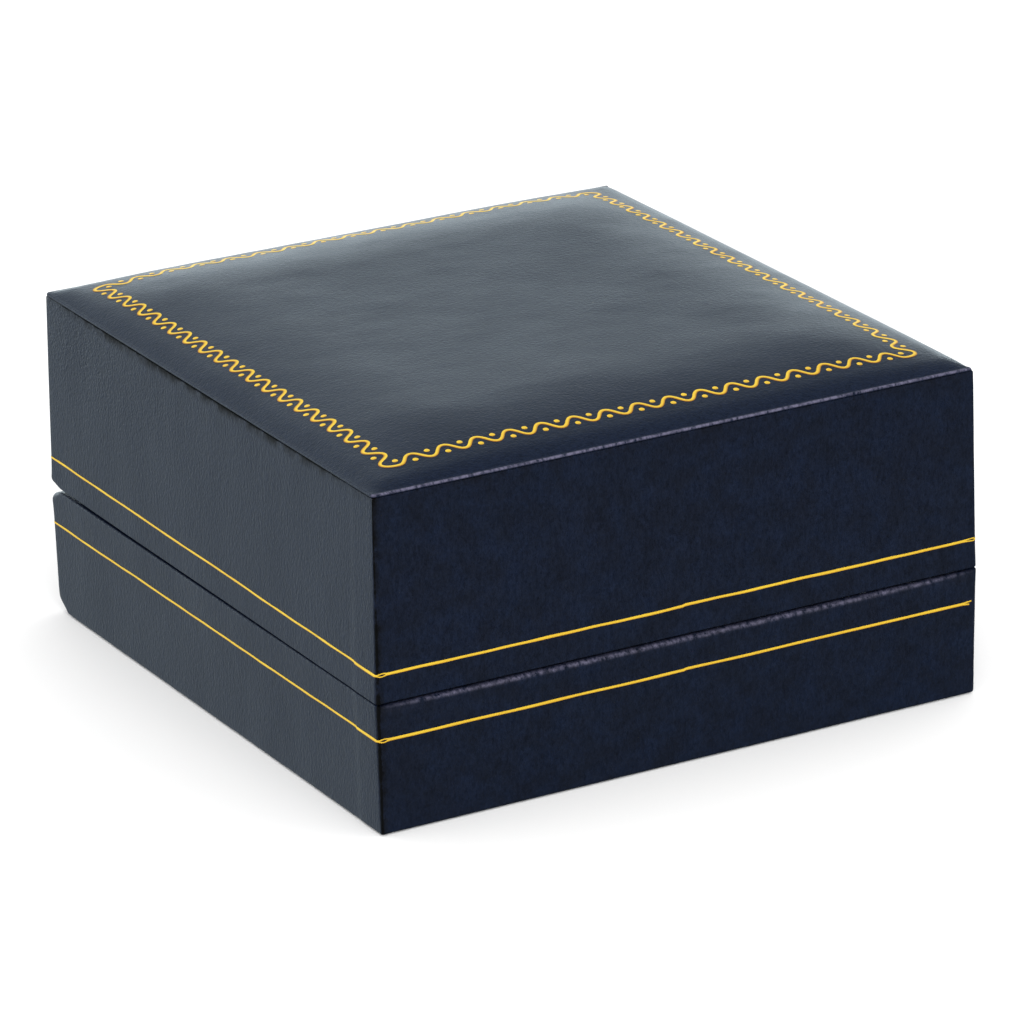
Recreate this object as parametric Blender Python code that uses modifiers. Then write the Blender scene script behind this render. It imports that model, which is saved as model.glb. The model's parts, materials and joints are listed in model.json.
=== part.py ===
"""Jewelry gift box: a hinged box of two moulded shells covered in leatherette.

Origin at the middle of the underside, +X along the front, +Y towards the hinge, +Z up.
The box is modelled closed. The lid's pieces hang from an empty on the hinge axis, in a frame of
their own: its Y and Z are measured from the axis, and it leans by the small angle at which the
closed lid stands on its hinge.
"""

import math

import bmesh
import bpy

mm = 0.001

# Outside sizes, over the covers
WIDTH = 90.0 * mm            # along the front, at the seam
DEPTH = 95.3 * mm            # front to back, at the seam
BASE_HEIGHT = 17.7 * mm      # underside to the base's rim
LID_HEIGHT = 27.9 * mm       # the lid's rim to the edge of its top
BASE_DRAFT = 0.2 * mm        # how far each base wall leans in towards the underside
LID_DRAFT = 0.45 * mm        # how far each lid wall leans in towards the top
CORNER_RADIUS = 0.9 * mm     # upright corners
CROWN_RISE = 3.0 * mm        # the padded top's height over its edge
CROWN_REACH = 20.0 * mm      # how far in from the edge the top goes on rising
CROWN_POWER = 2.7            # how quickly it levels off

# The seam
SEAM_GAP = 0.3 * mm          # between the rims at the front
HINGE_LIFT = 0.75 * mm       # how much further the rims stand apart at the back
BASE_HINGE_ROUND = 1.3 * mm  # rounding of the base's back rim
LID_HINGE_ROUND = 1.1 * mm   # rounding of the lid's back rim
BASE_FOOT_ROUND = 2.5 * mm   # rounding of the base's lower back edge

# Layers, from the outside in
GAP = 0.3 * mm               # between one piece and the next
COVER = 0.5 * mm             # leatherette with its turned edges
COVER_LIFT = 0.1 * mm        # the cover's bottom edge over the underside
TURN_UNDER = 6.0 * mm        # how far the base's cover is turned in under the floor
BOTTOM_SHEET = 0.5 * mm
SHELL_WALL = 1.5 * mm
SHELL_FLOOR = 1.5 * mm
LINING = 0.8 * mm
LINING_DROP = 0.5 * mm       # a lining's edge under its rim

# Padded top
TOP_SHEET = 0.6 * mm
TOP_SKIRT = 1.5 * mm         # the top sheet's edge, turned down over the walls

# Base insert
PAD_GAP = 0.5 * mm           # round the pad and its block
PAD_DROP = 5.0 * mm          # the pad's top under the base's rim
PAD_THICKNESS = 3.5 * mm
PAD_ROUND = 1.2 * mm
SLIT_DEPTH = 2.0 * mm
RING_SLIT = (24.0 * mm, 1.6 * mm)
CHAIN_SLIT = (10.0 * mm, 1.2 * mm)
CHAIN_SLIT_INSET = 11.0 * mm

# Lid insert
LID_BOARD = 1.4 * mm
SATIN_PAD = 5.0 * mm
SATIN_ROUND = 2.0 * mm

# Hinge
HINGE_LENGTH = 46.0 * mm     # over the knuckles
OUTER_KNUCKLE = 9.0 * mm     # each knuckle of the base's leaf
KNUCKLE_RADIUS = 0.9 * mm
KNUCKLE_GAP = 0.3 * mm       # between knuckles, end to end
PIN_RADIUS = 0.4 * mm
PIN_CLEARANCE = 0.08 * mm
LEAF = 0.4 * mm
LEAF_HEIGHT = 9.0 * mm       # from the axis to the leaf's far edge
LEAF_SETBACK = 0.4 * mm      # the middle of the leaf, inside the axis
RELIEF = 0.4 * mm            # room round the knuckles
RECESS_DEPTH = 1.0 * mm      # pocket for leaf and strip in each shell's back wall
RIVET_RADIUS = 0.7 * mm
RIVET_HEAD_RADIUS = 1.3 * mm
RIVET_HEAD = 0.25 * mm
RIVET_SPREAD = 15.0 * mm     # each leaf rivet, from the middle
RIVET_DROP = 6.0 * mm        # each rivet, from the axis
RIVET_CLEARANCE = 0.15 * mm
RIVET_PROUD = 0.1 * mm       # under each rivet's head
RIVET_FLUSH = 0.05 * mm      # each shank's end, short of the shell's inner face

# Snap spring and the cam flats it bears on
SPRING_WIDTH = 7.0 * mm
SPRING = 0.25 * mm
SPRING_FOOT = 8.0 * mm       # the spring's lower end, under the axis
SPRING_STEP = (4.0 * mm, 2.0 * mm)  # where it steps in past the knuckle, under the axis
SPRING_TIP = 0.9 * mm        # its upper end, over the axis
FLAT_DEPTH = 0.15 * mm

# Strip that closes the groove beside the hinge
STRIP = 0.3 * mm
STRIP_REACH = 4.0 * mm       # up and down from the axis
STRIP_END = 2.5 * mm         # its outer end, inside the box's side

# Worked out
HINGE_Y = DEPTH / 2 - KNUCKLE_RADIUS
HINGE_Z = BASE_HEIGHT + SEAM_GAP / 2 + HINGE_LIFT / 2
LID_LEAN = math.atan2(HINGE_LIFT, DEPTH)
LID_RIM = BASE_HEIGHT + SEAM_GAP + HINGE_LIFT - HINGE_Z
SHELL_INSET = COVER + GAP
LINING_INSET = SHELL_INSET + SHELL_WALL + GAP
ROOM_INSET = LINING_INSET + LINING
FLOOR_UNDERSIDE = BOTTOM_SHEET + GAP
FLOOR_TOP = FLOOR_UNDERSIDE + SHELL_FLOOR
PAD_TOP = BASE_HEIGHT - PAD_DROP
LID_SHELL_TOP = LID_HEIGHT - TOP_SKIRT - GAP
CEILING = LID_SHELL_TOP - SHELL_FLOOR
HALF_HINGE = HINGE_LENGTH / 2
NOTCH_HALF = HALF_HINGE + KNUCKLE_GAP
SPRING_SLOT_HALF = SPRING_WIDTH / 2 + GAP
BEYOND = 5.0 * mm            # how far cutters stand past what they cut
STRIP_OUTER = WIDTH / 2 - SHELL_INSET - STRIP_END
SMALLEST_ROUND = 0.1 * mm    # a rounding under this is left sharp


def new_collection(name):
    collection = bpy.data.collections.new(name)
    bpy.context.scene.collection.children.link(collection)
    return collection


def make_material(name, colour, roughness, metallic=0.0):
    material = bpy.data.materials.new(name)
    material.use_nodes = True
    shader = material.node_tree.nodes["Principled BSDF"]
    shader.inputs["Base Color"].default_value = (*colour, 1.0)
    shader.inputs["Roughness"].default_value = roughness
    shader.inputs["Metallic"].default_value = metallic
    return material


def add_object(name, bm, material=None, lid=False):
    """Put a finished bmesh in the scene: a part if it has a material, else a cutter."""
    mesh = bpy.data.meshes.new(name)
    bm.to_mesh(mesh)
    bm.free()
    obj = bpy.data.objects.new(name, mesh)
    if material:
        mesh.materials.append(material)
        PARTS.objects.link(obj)
    else:
        obj.display_type = "WIRE"
        obj.hide_render = True
        CUTTERS.objects.link(obj)
    if lid:
        obj.parent = LID_AXIS
    return obj


def boolean(target, tool, operation="DIFFERENCE"):
    modifier = target.modifiers.new(operation.title() + " " + tool.name, "BOOLEAN")
    modifier.operation = operation
    modifier.solver = "EXACT"
    modifier.object = tool


def smooth(obj):
    obj.data.shade_smooth()
    obj.data.set_sharp_from_angle(angle=math.radians(35))


def round_edges(obj, width, segments=2):
    bevel = obj.modifiers.new("Rounded edges", "BEVEL")
    bevel.width = width
    bevel.segments = segments
    bevel.limit_method = "ANGLE"
    bevel.angle_limit = math.radians(40)


# --- Blocks that follow the box's plan ---

def base_plan(z, inset):
    """Width and depth of the base at height z, a given inset inside its cover's face."""
    lean = BASE_DRAFT * (1 - z / BASE_HEIGHT)
    return WIDTH - 2 * (lean + inset), DEPTH - 2 * (lean + inset)


def lid_plan(h, inset):
    """The same for the lid, h over its rim."""
    lean = LID_DRAFT * h / LID_HEIGHT
    return WIDTH - 2 * (lean + inset), DEPTH - 2 * (lean + inset)


def plan_bmesh(plan, low, high, inset, shift, lower_round=0.0, upper_round=0.0):
    """A drafted block between two levels, with its upright corners rounded, and its lower and
    upper back edges too where a radius over the cover's face is given."""
    bm = bmesh.new()
    bmesh.ops.create_cube(bm, size=1.0)
    for vert in bm.verts:
        level = high if vert.co.z > 0 else low
        width, depth = plan(level, inset)
        vert.co = (vert.co.x * width, vert.co.y * depth + shift[0], level + shift[1])
    for radius, level in ((lower_round - inset, low), (upper_round - inset, high)):
        if radius > SMALLEST_ROUND:
            back = [e for e in bm.edges if all(v.co.y > shift[0] and abs(v.co.z - level - shift[1]) < GAP
                                               for v in e.verts)]
            bmesh.ops.bevel(bm, geom=back, offset=radius, segments=3, profile=0.5, affect="EDGES")
    radius = CORNER_RADIUS - inset
    if radius > SMALLEST_ROUND:
        upright = [e for e in bm.edges
                   if abs(e.verts[0].co.x - e.verts[1].co.x) < WIDTH / 10
                   and abs(e.verts[0].co.z - e.verts[1].co.z) > (high - low) / 2]
        bmesh.ops.bevel(bm, geom=upright, offset=radius, segments=3, profile=0.5, affect="EDGES")
    return bm


def base_block(name, low, high, inset=0.0, material=None, lower_round=0.0, upper_round=0.0):
    bm = plan_bmesh(base_plan, low, high, inset, (0.0, 0.0), lower_round, upper_round)
    return add_object(name, bm, material)


def lid_block(name, low, high, inset=0.0, material=None, lower_round=0.0):
    """low and high are measured from the lid's rim."""
    bm = plan_bmesh(lid_plan, low, high, inset, (-HINGE_Y, LID_RIM), lower_round)
    return add_object(name, bm, material, lid=True)


def crown(x, y, width, depth):
    """Height of the padded top over its edge, at a place in its plan."""
    rise = CROWN_RISE
    for place, half in ((abs(x), width / 2), (abs(y), depth / 2)):
        reach = min(max((half - place) / CROWN_REACH, 0.0), 1.0)
        rise *= 1 - (1 - reach) ** CROWN_POWER
    return rise


def crowned_block(name, bottom, drop, inset, material=None):
    """A block of the lid from one level up to the crowned top, drop below its face."""
    width, depth = lid_plan(LID_HEIGHT, 0.0)
    bm = bmesh.new()
    bmesh.ops.create_grid(bm, x_segments=26, y_segments=26, size=0.5)
    for vert in bm.verts:
        x = math.sin(vert.co.x * math.pi) * (width / 2 + 2 * mm)
        y = math.sin(vert.co.y * math.pi) * (depth / 2 + 2 * mm)
        vert.co = (x, y, LID_HEIGHT - drop + crown(x, y, width, depth))
    lower = bmesh.ops.extrude_face_region(bm, geom=bm.faces[:])
    for item in lower["geom"]:
        if isinstance(item, bmesh.types.BMVert):
            item.co.z = bottom
    bmesh.ops.recalc_face_normals(bm, faces=bm.faces)
    bmesh.ops.translate(bm, verts=bm.verts, vec=(0, -HINGE_Y, LID_RIM))
    block = add_object(name, bm, material, lid=True)
    outline = lid_block(name + "_outline", bottom - BEYOND, LID_HEIGHT + BEYOND, inset)
    boolean(block, outline, "INTERSECT")
    return block


# --- Small solids ---

def box(name, low, high, material=None, lid=False, turn=0.0):
    """An axis-aligned box between two corners, turned about its own upright if asked."""
    bm = bmesh.new()
    bmesh.ops.create_cube(bm, size=1.0)
    size = [h - l for l, h in zip(low, high)]
    centre = [(l + h) / 2 for l, h in zip(low, high)]
    bmesh.ops.scale(bm, vec=size, verts=bm.verts)
    if turn:
        rotation = [[math.cos(turn), -math.sin(turn), 0], [math.sin(turn), math.cos(turn), 0], [0, 0, 1]]
        for vert in bm.verts:
            vert.co = [sum(r * c for r, c in zip(row, vert.co)) for row in rotation]
    bmesh.ops.translate(bm, vec=centre, verts=bm.verts)
    return add_object(name, bm, material, lid)


def rod(name, start, length, radius, axis="X", material=None, lid=False, sides=20):
    """A cylinder from a point along +X or +Y."""
    bm = bmesh.new()
    bmesh.ops.create_cone(bm, cap_ends=True, segments=sides, radius1=radius, radius2=radius,
                          depth=length)
    for vert in bm.verts:
        a, b, along = vert.co
        along += length / 2
        offset = (along, a, b) if axis == "X" else (b, along, a)
        vert.co = [s + o for s, o in zip(start, offset)]
    return add_object(name, bm, material, lid)


def rivet(name, x, y, z, length, material, lid=False):
    """A rivet along +Y with its head at the far end; x, y, z is the shank's inner end."""
    shank = rod(name, (x, y, z), length, RIVET_RADIUS, "Y", material, lid)
    head = rod(name + "_head", (x, y + length - RIVET_HEAD, z), RIVET_HEAD, RIVET_HEAD_RADIUS, "Y",
               None, lid, sides=24)
    boolean(shank, head, "UNION")
    smooth(shank)
    return shank


def bent_strip(name, path, half_width, thickness, material):
    """A strip of even thickness along X, from a path of (y, z) points down its middle."""
    bm = bmesh.new()
    edge = [bm.verts.new((-half_width, y, z)) for y, z in path]
    chain = [bm.edges.new(pair) for pair in zip(edge, edge[1:])]
    wide = bmesh.ops.extrude_edge_only(bm, edges=chain)
    for item in wide["geom"]:
        if isinstance(item, bmesh.types.BMVert):
            item.co.x = half_width
    strip = add_object(name, bm, material)
    solidify = strip.modifiers.new("Thickness", "SOLIDIFY")
    solidify.thickness = thickness
    solidify.offset = 0.0
    smooth(strip)
    return strip


# --- The base ---

def relief_cutters():
    """Room in both halves for the knuckles, and pockets in the shells for leaves and strips."""
    clear = KNUCKLE_RADIUS + RELIEF
    inside = min(DEPTH / 2 - LINING_INSET, HINGE_Y - clear)
    notch = box("knuckle_notch", (-NOTCH_HALF, inside, HINGE_Z - clear),
                (NOTCH_HALF, DEPTH / 2 + BEYOND, HINGE_Z + clear))
    half = STRIP_OUTER + GAP
    reach = LEAF_HEIGHT + GAP
    floor = min(DEPTH / 2 - SHELL_INSET - RECESS_DEPTH, HINGE_Y - LEAF_SETBACK - LEAF / 2 - GAP)
    pocket = box("leaf_pocket", (-half, floor, HINGE_Z - reach),
                 (half, DEPTH / 2 - COVER - GAP / 2, HINGE_Z + reach))
    groove = box("strip_groove", (-half, HINGE_Y - STRIP / 2 - GAP, HINGE_Z - STRIP_REACH),
                 (half, HINGE_Y + STRIP / 2 + GAP, HINGE_Z + STRIP_REACH))
    return notch, pocket, groove


def base_shell(notch, pocket, finish):
    shell = base_block("base_shell", FLOOR_UNDERSIDE, BASE_HEIGHT - SHELL_INSET, SHELL_INSET, finish,
                       BASE_FOOT_ROUND, BASE_HINGE_ROUND)
    hollow = base_block("base_hollow", FLOOR_TOP, BASE_HEIGHT + BEYOND, SHELL_INSET + SHELL_WALL)
    slot = box("spring_slot", (-SPRING_SLOT_HALF, DEPTH / 2 - LINING_INSET, HINGE_Z - SPRING_FOOT - GAP),
               (SPRING_SLOT_HALF, DEPTH / 2 - COVER - GAP / 2, HINGE_Z))
    for cutter in (hollow, pocket, notch, slot):
        boolean(shell, cutter)
    for side in (-1, 1):
        hole = rod("base_rivet_hole", (side * RIVET_SPREAD, HINGE_Y - BEYOND, HINGE_Z - RIVET_DROP),
                   2 * BEYOND, RIVET_RADIUS + RIVET_CLEARANCE, "Y")
        boolean(shell, hole)


def base_cover(notch, groove, finish):
    """Leatherette round the walls, turned in over the rim and under the floor."""
    cover = base_block("base_cover", COVER_LIFT, BASE_HEIGHT, 0.0, finish,
                       BASE_FOOT_ROUND, BASE_HINGE_ROUND)
    room = base_block("cover_room", BOTTOM_SHEET, BASE_HEIGHT - COVER, COVER, None,
                      BASE_FOOT_ROUND, BASE_HINGE_ROUND)
    mouth = base_block("cover_mouth", BASE_HEIGHT / 2, BASE_HEIGHT + BEYOND, LINING_INSET - GAP)
    under = base_block("cover_under", -BEYOND, BASE_HEIGHT / 2, TURN_UNDER)
    for cutter in (room, mouth, under, groove, notch):
        boolean(cover, cutter)


def bottom_sheet(finish):
    base_block("bottom_sheet", 0.0, BOTTOM_SHEET, TURN_UNDER + GAP, finish)


def base_lining(finish):
    """Velvet round the inside, notched at the back where the spring stands."""
    lining = base_block("base_lining", FLOOR_TOP + GAP, BASE_HEIGHT - LINING_DROP, LINING_INSET, finish)
    boolean(lining, base_block("base_room", 0.0, BASE_HEIGHT + BEYOND, ROOM_INSET))
    back = DEPTH / 2 - LINING_INSET
    boolean(lining, box("spring_notch", (-SPRING_SLOT_HALF, back - BEYOND, HINGE_Z - SPRING_STEP[0] - GAP),
                        (SPRING_SLOT_HALF, back + BEYOND, HINGE_Z)))


def jewelry_pad(velvet, foam):
    """The velvet pad with its slits, and the block that holds it up."""
    pad_bottom = PAD_TOP - PAD_THICKNESS
    base_block("pad_foam", FLOOR_TOP + GAP, pad_bottom - GAP, ROOM_INSET + PAD_GAP, foam)
    pad = base_block("jewelry_pad", pad_bottom, PAD_TOP, ROOM_INSET + PAD_GAP, velvet)
    round_edges(pad, PAD_ROUND, segments=3)
    ring_length, ring_width = RING_SLIT
    floor = PAD_TOP - SLIT_DEPTH
    boolean(pad, box("ring_slit", (-ring_length / 2, -ring_width / 2, floor),
                     (ring_length / 2, ring_width / 2, PAD_TOP + BEYOND)))
    width, depth = base_plan(PAD_TOP, ROOM_INSET + PAD_GAP)
    length, breadth = CHAIN_SLIT
    for side in (-1, 1):
        x = side * (width / 2 - CHAIN_SLIT_INSET)
        y = depth / 2 - CHAIN_SLIT_INSET
        slit = box("chain_slit", (x - length / 2, y - breadth / 2, floor),
                   (x + length / 2, y + breadth / 2, PAD_TOP + BEYOND), turn=side * math.radians(-45))
        boolean(pad, slit)


# --- The lid ---

def lid_shell(notch, pocket, finish):
    shell = lid_block("lid_shell", SHELL_INSET, LID_SHELL_TOP, SHELL_INSET, finish, LID_HINGE_ROUND)
    hollow = lid_block("lid_hollow", -BEYOND, CEILING, SHELL_INSET + SHELL_WALL)
    for cutter in (hollow, pocket, notch):
        boolean(shell, cutter)
    for side in (-1, 1):
        hole = rod("lid_rivet_hole", (side * RIVET_SPREAD, -BEYOND, RIVET_DROP), 2 * BEYOND,
                   RIVET_RADIUS + RIVET_CLEARANCE, "Y", lid=True)
        boolean(shell, hole)


def lid_cover(notch, groove, finish):
    """Leatherette round the lid's walls, turned in over its rim."""
    cover = lid_block("lid_cover", 0.0, LID_SHELL_TOP, 0.0, finish, LID_HINGE_ROUND)
    room = lid_block("lid_cover_room", COVER, LID_HEIGHT + BEYOND, COVER, None, LID_HINGE_ROUND)
    mouth = lid_block("lid_cover_mouth", -BEYOND, LID_HEIGHT / 2, LINING_INSET - GAP)
    for cutter in (room, mouth, groove, notch):
        boolean(cover, cutter)


def padded_top(leatherette, foam):
    """The crowned top sheet, turned down over the walls, and the padding under it."""
    sheet = crowned_block("lid_top_cover", LID_HEIGHT - TOP_SKIRT, 0.0, 0.0, leatherette)
    inside = crowned_block("top_cover_room", -BEYOND, TOP_SHEET, COVER)
    boolean(sheet, inside)
    smooth(sheet)
    padding = crowned_block("lid_top_foam", LID_SHELL_TOP + GAP, TOP_SHEET + GAP, SHELL_INSET, foam)
    smooth(padding)


def lid_lining(finish):
    lining = lid_block("lid_lining", LINING_DROP, CEILING - GAP, LINING_INSET, finish)
    boolean(lining, lid_block("lid_room", -BEYOND, LID_HEIGHT, ROOM_INSET))


def satin_pad(satin, card):
    board_bottom = CEILING - GAP - LID_BOARD
    lid_block("lid_pad_board", board_bottom, CEILING - GAP, ROOM_INSET + PAD_GAP, card)
    pad_top = board_bottom - GAP
    pad = lid_block("lid_satin_pad", pad_top - SATIN_PAD, pad_top, ROOM_INSET + PAD_GAP, satin)
    round_edges(pad, SATIN_ROUND, segments=3)


# --- Hinge and snap spring ---

def hinge_leaf(name, side, knuckles, finish):
    """A plate in its pocket with knuckles on the axis; side is -1 for the base, 1 for the lid."""
    lid = side > 0
    axis_y, axis_z = (0.0, 0.0) if lid else (HINGE_Y, HINGE_Z)
    plate_y = axis_y - LEAF_SETBACK
    clear = KNUCKLE_RADIUS + RELIEF
    levels = sorted((axis_z + side * clear, axis_z + side * LEAF_HEIGHT))
    leaf = box(name, (-HALF_HINGE, plate_y - LEAF / 2, levels[0]),
               (HALF_HINGE, plate_y + LEAF / 2, levels[1]), finish, lid)
    for start, length in knuckles:
        tab = sorted((axis_z, axis_z + side * (clear + LEAF)))
        boolean(leaf, box(name + "_tab", (start, plate_y - LEAF / 2, tab[0]),
                          (start + length, plate_y + LEAF / 2, tab[1]), lid=lid), "UNION")
        boolean(leaf, rod(name + "_knuckle", (start, axis_y, axis_z), length, KNUCKLE_RADIUS,
                          lid=lid, sides=24), "UNION")
    boolean(leaf, rod(name + "_bore", (-HINGE_LENGTH, axis_y, axis_z), 2 * HINGE_LENGTH,
                      PIN_RADIUS + PIN_CLEARANCE, lid=lid, sides=24))
    places = [(s * RIVET_SPREAD, RIVET_DROP) for s in (-1, 1)]
    if not lid:
        places.append((0.0, RIVET_DROP))
    for x, drop in places:
        boolean(leaf, rod(name + "_rivet_hole", (x, axis_y - BEYOND, axis_z + side * drop), 2 * BEYOND,
                          RIVET_RADIUS + RIVET_CLEARANCE, "Y", lid=lid))
    smooth(leaf)
    return leaf


def cam_flats(leaf):
    """Two flats on the lid's knuckle: the spring lies on one closed, on the other open."""
    half = SPRING_WIDTH / 2 + KNUCKLE_GAP
    reach = 2 * KNUCKLE_RADIUS
    face = KNUCKLE_RADIUS - FLAT_DEPTH
    closed_flat = box("closed_flat", (-half, -reach, -reach), (half, -face, LEAF), lid=True)
    open_flat = box("open_flat", (-half, -reach, -reach), (half, reach, -face), lid=True)
    for flat in (closed_flat, open_flat):
        boolean(leaf, flat)


def snap_spring(finish):
    """A flat spring, riveted to the base's leaf, that stands up beside the cam flats."""
    foot_y = HINGE_Y - LEAF_SETBACK - LEAF / 2 - GAP - SPRING / 2
    tip_y = HINGE_Y - KNUCKLE_RADIUS - GAP - SPRING / 2
    step_low, step_high = SPRING_STEP
    path = [(foot_y, HINGE_Z - SPRING_FOOT), (foot_y, HINGE_Z - step_low),
            (tip_y, HINGE_Z - step_high), (tip_y, HINGE_Z + SPRING_TIP)]
    spring = bent_strip("snap_spring", path, SPRING_WIDTH / 2, SPRING, finish)
    boolean(spring, rod("spring_hole", (0.0, HINGE_Y - BEYOND, HINGE_Z - RIVET_DROP), 2 * BEYOND,
                        RIVET_RADIUS + RIVET_CLEARANCE, "Y"))


def hinge(brass, spring_steel):
    """Two leaves on one pin, the rivets that hold them to the shells, and the spring."""
    middle = HALF_HINGE - OUTER_KNUCKLE - KNUCKLE_GAP
    outer = [(-HALF_HINGE, OUTER_KNUCKLE), (HALF_HINGE - OUTER_KNUCKLE, OUTER_KNUCKLE)]
    hinge_leaf("base_hinge_leaf", -1, outer, brass)
    cam_flats(hinge_leaf("lid_hinge_leaf", 1, [(-middle, 2 * middle)], brass))
    smooth(rod("hinge_pin", (-HALF_HINGE, HINGE_Y, HINGE_Z), HINGE_LENGTH, PIN_RADIUS,
               material=brass, sides=24))
    shank_end = DEPTH / 2 - SHELL_INSET - SHELL_WALL + RIVET_FLUSH - HINGE_Y
    length = LEAF / 2 - LEAF_SETBACK + RIVET_PROUD + RIVET_HEAD - shank_end
    for label, x in (("left", -RIVET_SPREAD), ("right", RIVET_SPREAD)):
        rivet("base_rivet_" + label, x, HINGE_Y + shank_end, HINGE_Z - RIVET_DROP, length, brass)
        rivet("lid_rivet_" + label, x, shank_end, RIVET_DROP, length, brass, lid=True)
    rivet("spring_rivet", 0.0, HINGE_Y + shank_end, HINGE_Z - RIVET_DROP, length, brass)
    snap_spring(spring_steel)


def hinge_strips(finish):
    """Leatherette in the groove at each end of the knuckles, on the plane of the axis."""
    inner = NOTCH_HALF + GAP
    for label, ends in (("left", (-STRIP_OUTER, -inner)), ("right", (inner, STRIP_OUTER))):
        box("hinge_strip_" + label, (ends[0], HINGE_Y - STRIP / 2, HINGE_Z - STRIP_REACH + GAP),
            (ends[1], HINGE_Y + STRIP / 2, HINGE_Z + STRIP_REACH - GAP), finish)


for leftover in list(bpy.data.objects):
    bpy.data.objects.remove(leftover, do_unlink=True)

PARTS = new_collection("jewelry_gift_box")
CUTTERS = new_collection("cutters")
LID_AXIS = bpy.data.objects.new("lid_axis", None)
LID_AXIS.location = (0.0, HINGE_Y, HINGE_Z)
LID_AXIS.rotation_euler = (LID_LEAN, 0.0, 0.0)
LID_AXIS.empty_display_size = 0.01
PARTS.objects.link(LID_AXIS)

LEATHERETTE = make_material("navy_leatherette", (0.012, 0.016, 0.034), 0.42)
PLASTIC = make_material("dark_plastic", (0.03, 0.03, 0.035), 0.55)
VELVET = make_material("navy_velvet", (0.010, 0.013, 0.035), 0.95)
SATIN = make_material("white_satin", (0.82, 0.80, 0.76), 0.35)
FOAM = make_material("grey_foam", (0.45, 0.45, 0.45), 0.9)
CARD = make_material("grey_card", (0.35, 0.33, 0.30), 0.85)
PAPER = make_material("black_paper", (0.02, 0.02, 0.022), 0.8)
BRASS = make_material("brass_plate", (0.75, 0.58, 0.28), 0.3, 1.0)
SPRING_STEEL = make_material("spring_steel", (0.45, 0.46, 0.48), 0.35, 1.0)

knuckle_notch, leaf_pocket, strip_groove = relief_cutters()
base_shell(knuckle_notch, leaf_pocket, PLASTIC)
base_cover(knuckle_notch, strip_groove, LEATHERETTE)
bottom_sheet(PAPER)
base_lining(VELVET)
jewelry_pad(VELVET, FOAM)
lid_shell(knuckle_notch, leaf_pocket, PLASTIC)
lid_cover(knuckle_notch, strip_groove, LEATHERETTE)
padded_top(LEATHERETTE, FOAM)
lid_lining(SATIN)
satin_pad(SATIN, CARD)
hinge(BRASS, SPRING_STEEL)
hinge_strips(LEATHERETTE)
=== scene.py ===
# %% [markdown]
# # A hinged gift box for jewelry
#
# A finished CAD model gives every piece of this box its size, its place and its hinge.
# Here it gets its looks: leatherette skins with rolled rims, hot stamped gold, velvet and
# satin inside, and the metal of the snap hinge. The model is loaded first and never changed.
# Softer or finer pieces are built beside it and stand for its plain solids.

# %% The fixed frame
import json
import math

import bpy
import numpy as np
from mathutils import Matrix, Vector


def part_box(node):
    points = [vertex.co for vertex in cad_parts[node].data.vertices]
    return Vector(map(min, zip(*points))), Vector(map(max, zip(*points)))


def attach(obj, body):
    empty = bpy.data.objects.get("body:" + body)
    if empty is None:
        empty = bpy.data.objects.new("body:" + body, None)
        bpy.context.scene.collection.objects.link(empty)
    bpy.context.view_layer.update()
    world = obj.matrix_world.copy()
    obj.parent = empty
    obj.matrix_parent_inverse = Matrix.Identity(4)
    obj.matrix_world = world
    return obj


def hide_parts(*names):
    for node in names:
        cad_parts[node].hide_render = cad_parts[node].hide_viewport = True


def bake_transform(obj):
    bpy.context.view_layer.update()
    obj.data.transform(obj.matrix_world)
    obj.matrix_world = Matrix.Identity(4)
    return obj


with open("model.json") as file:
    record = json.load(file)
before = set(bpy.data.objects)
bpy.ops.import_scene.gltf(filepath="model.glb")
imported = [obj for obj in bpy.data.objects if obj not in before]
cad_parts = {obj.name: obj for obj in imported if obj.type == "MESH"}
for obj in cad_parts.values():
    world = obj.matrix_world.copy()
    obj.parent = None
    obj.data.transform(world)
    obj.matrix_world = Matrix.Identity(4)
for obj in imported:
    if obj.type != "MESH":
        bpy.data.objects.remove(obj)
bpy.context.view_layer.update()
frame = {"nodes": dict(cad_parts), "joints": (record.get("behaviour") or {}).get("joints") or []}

# %% [markdown]
# ## Sizes
#
# Sizes come from the CAD boxes wherever they can. The rest are the maker's own: how far walls
# lean, how thick leatherette is with its turned edge, and how the padded top rises. The lid
# leans on its hinge, because the rims stand further apart at the back than at the front, so
# lid pieces are worked out level, with heights over the lid's rim, and then turned as one.

# %% Sizes and the leaning lid
mm = 0.001
HALF_W, HALF_D, BASE_TOP = np.array(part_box("base_cover")[1])
AXIS_Y, AXIS_Z = frame["joints"][0]["pos_m"][1:]
LID_HEIGHT = 27.9 * mm
RIM_GAP = 0.3 * mm
HINGE_LIFT = 0.75 * mm
LID_LEAN = math.atan2(HINGE_LIFT, 2 * HALF_D)
LID_RIM = BASE_TOP + RIM_GAP + HINGE_LIFT - AXIS_Z
BASE_DRAFT = 0.2 * mm
LID_DRAFT = 0.45 * mm
CORNER = 0.5 * mm           # radius of the upright corners
COVER = 0.5 * mm            # thickness of a skin: leatherette, its backing and glue


def lean(points):
    """Points of the level lid, heights over its rim, turned about the hinge's axis:
    y and z from the axis go to y cos a - z sin a and y sin a + z cos a."""
    y = points[..., 1] - AXIS_Y
    z = points[..., 2] + LID_RIM
    c, s = math.cos(LID_LEAN), math.sin(LID_LEAN)
    return np.stack([points[..., 0], AXIS_Y + y * c - z * s, AXIS_Z + y * s + z * c], -1)


print("lid leans", round(math.degrees(LID_LEAN), 3), "degrees")
print("front rim of the lid at", lean(np.array([0.0, -HALF_D, 0.0]))[2].round(5))

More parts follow.
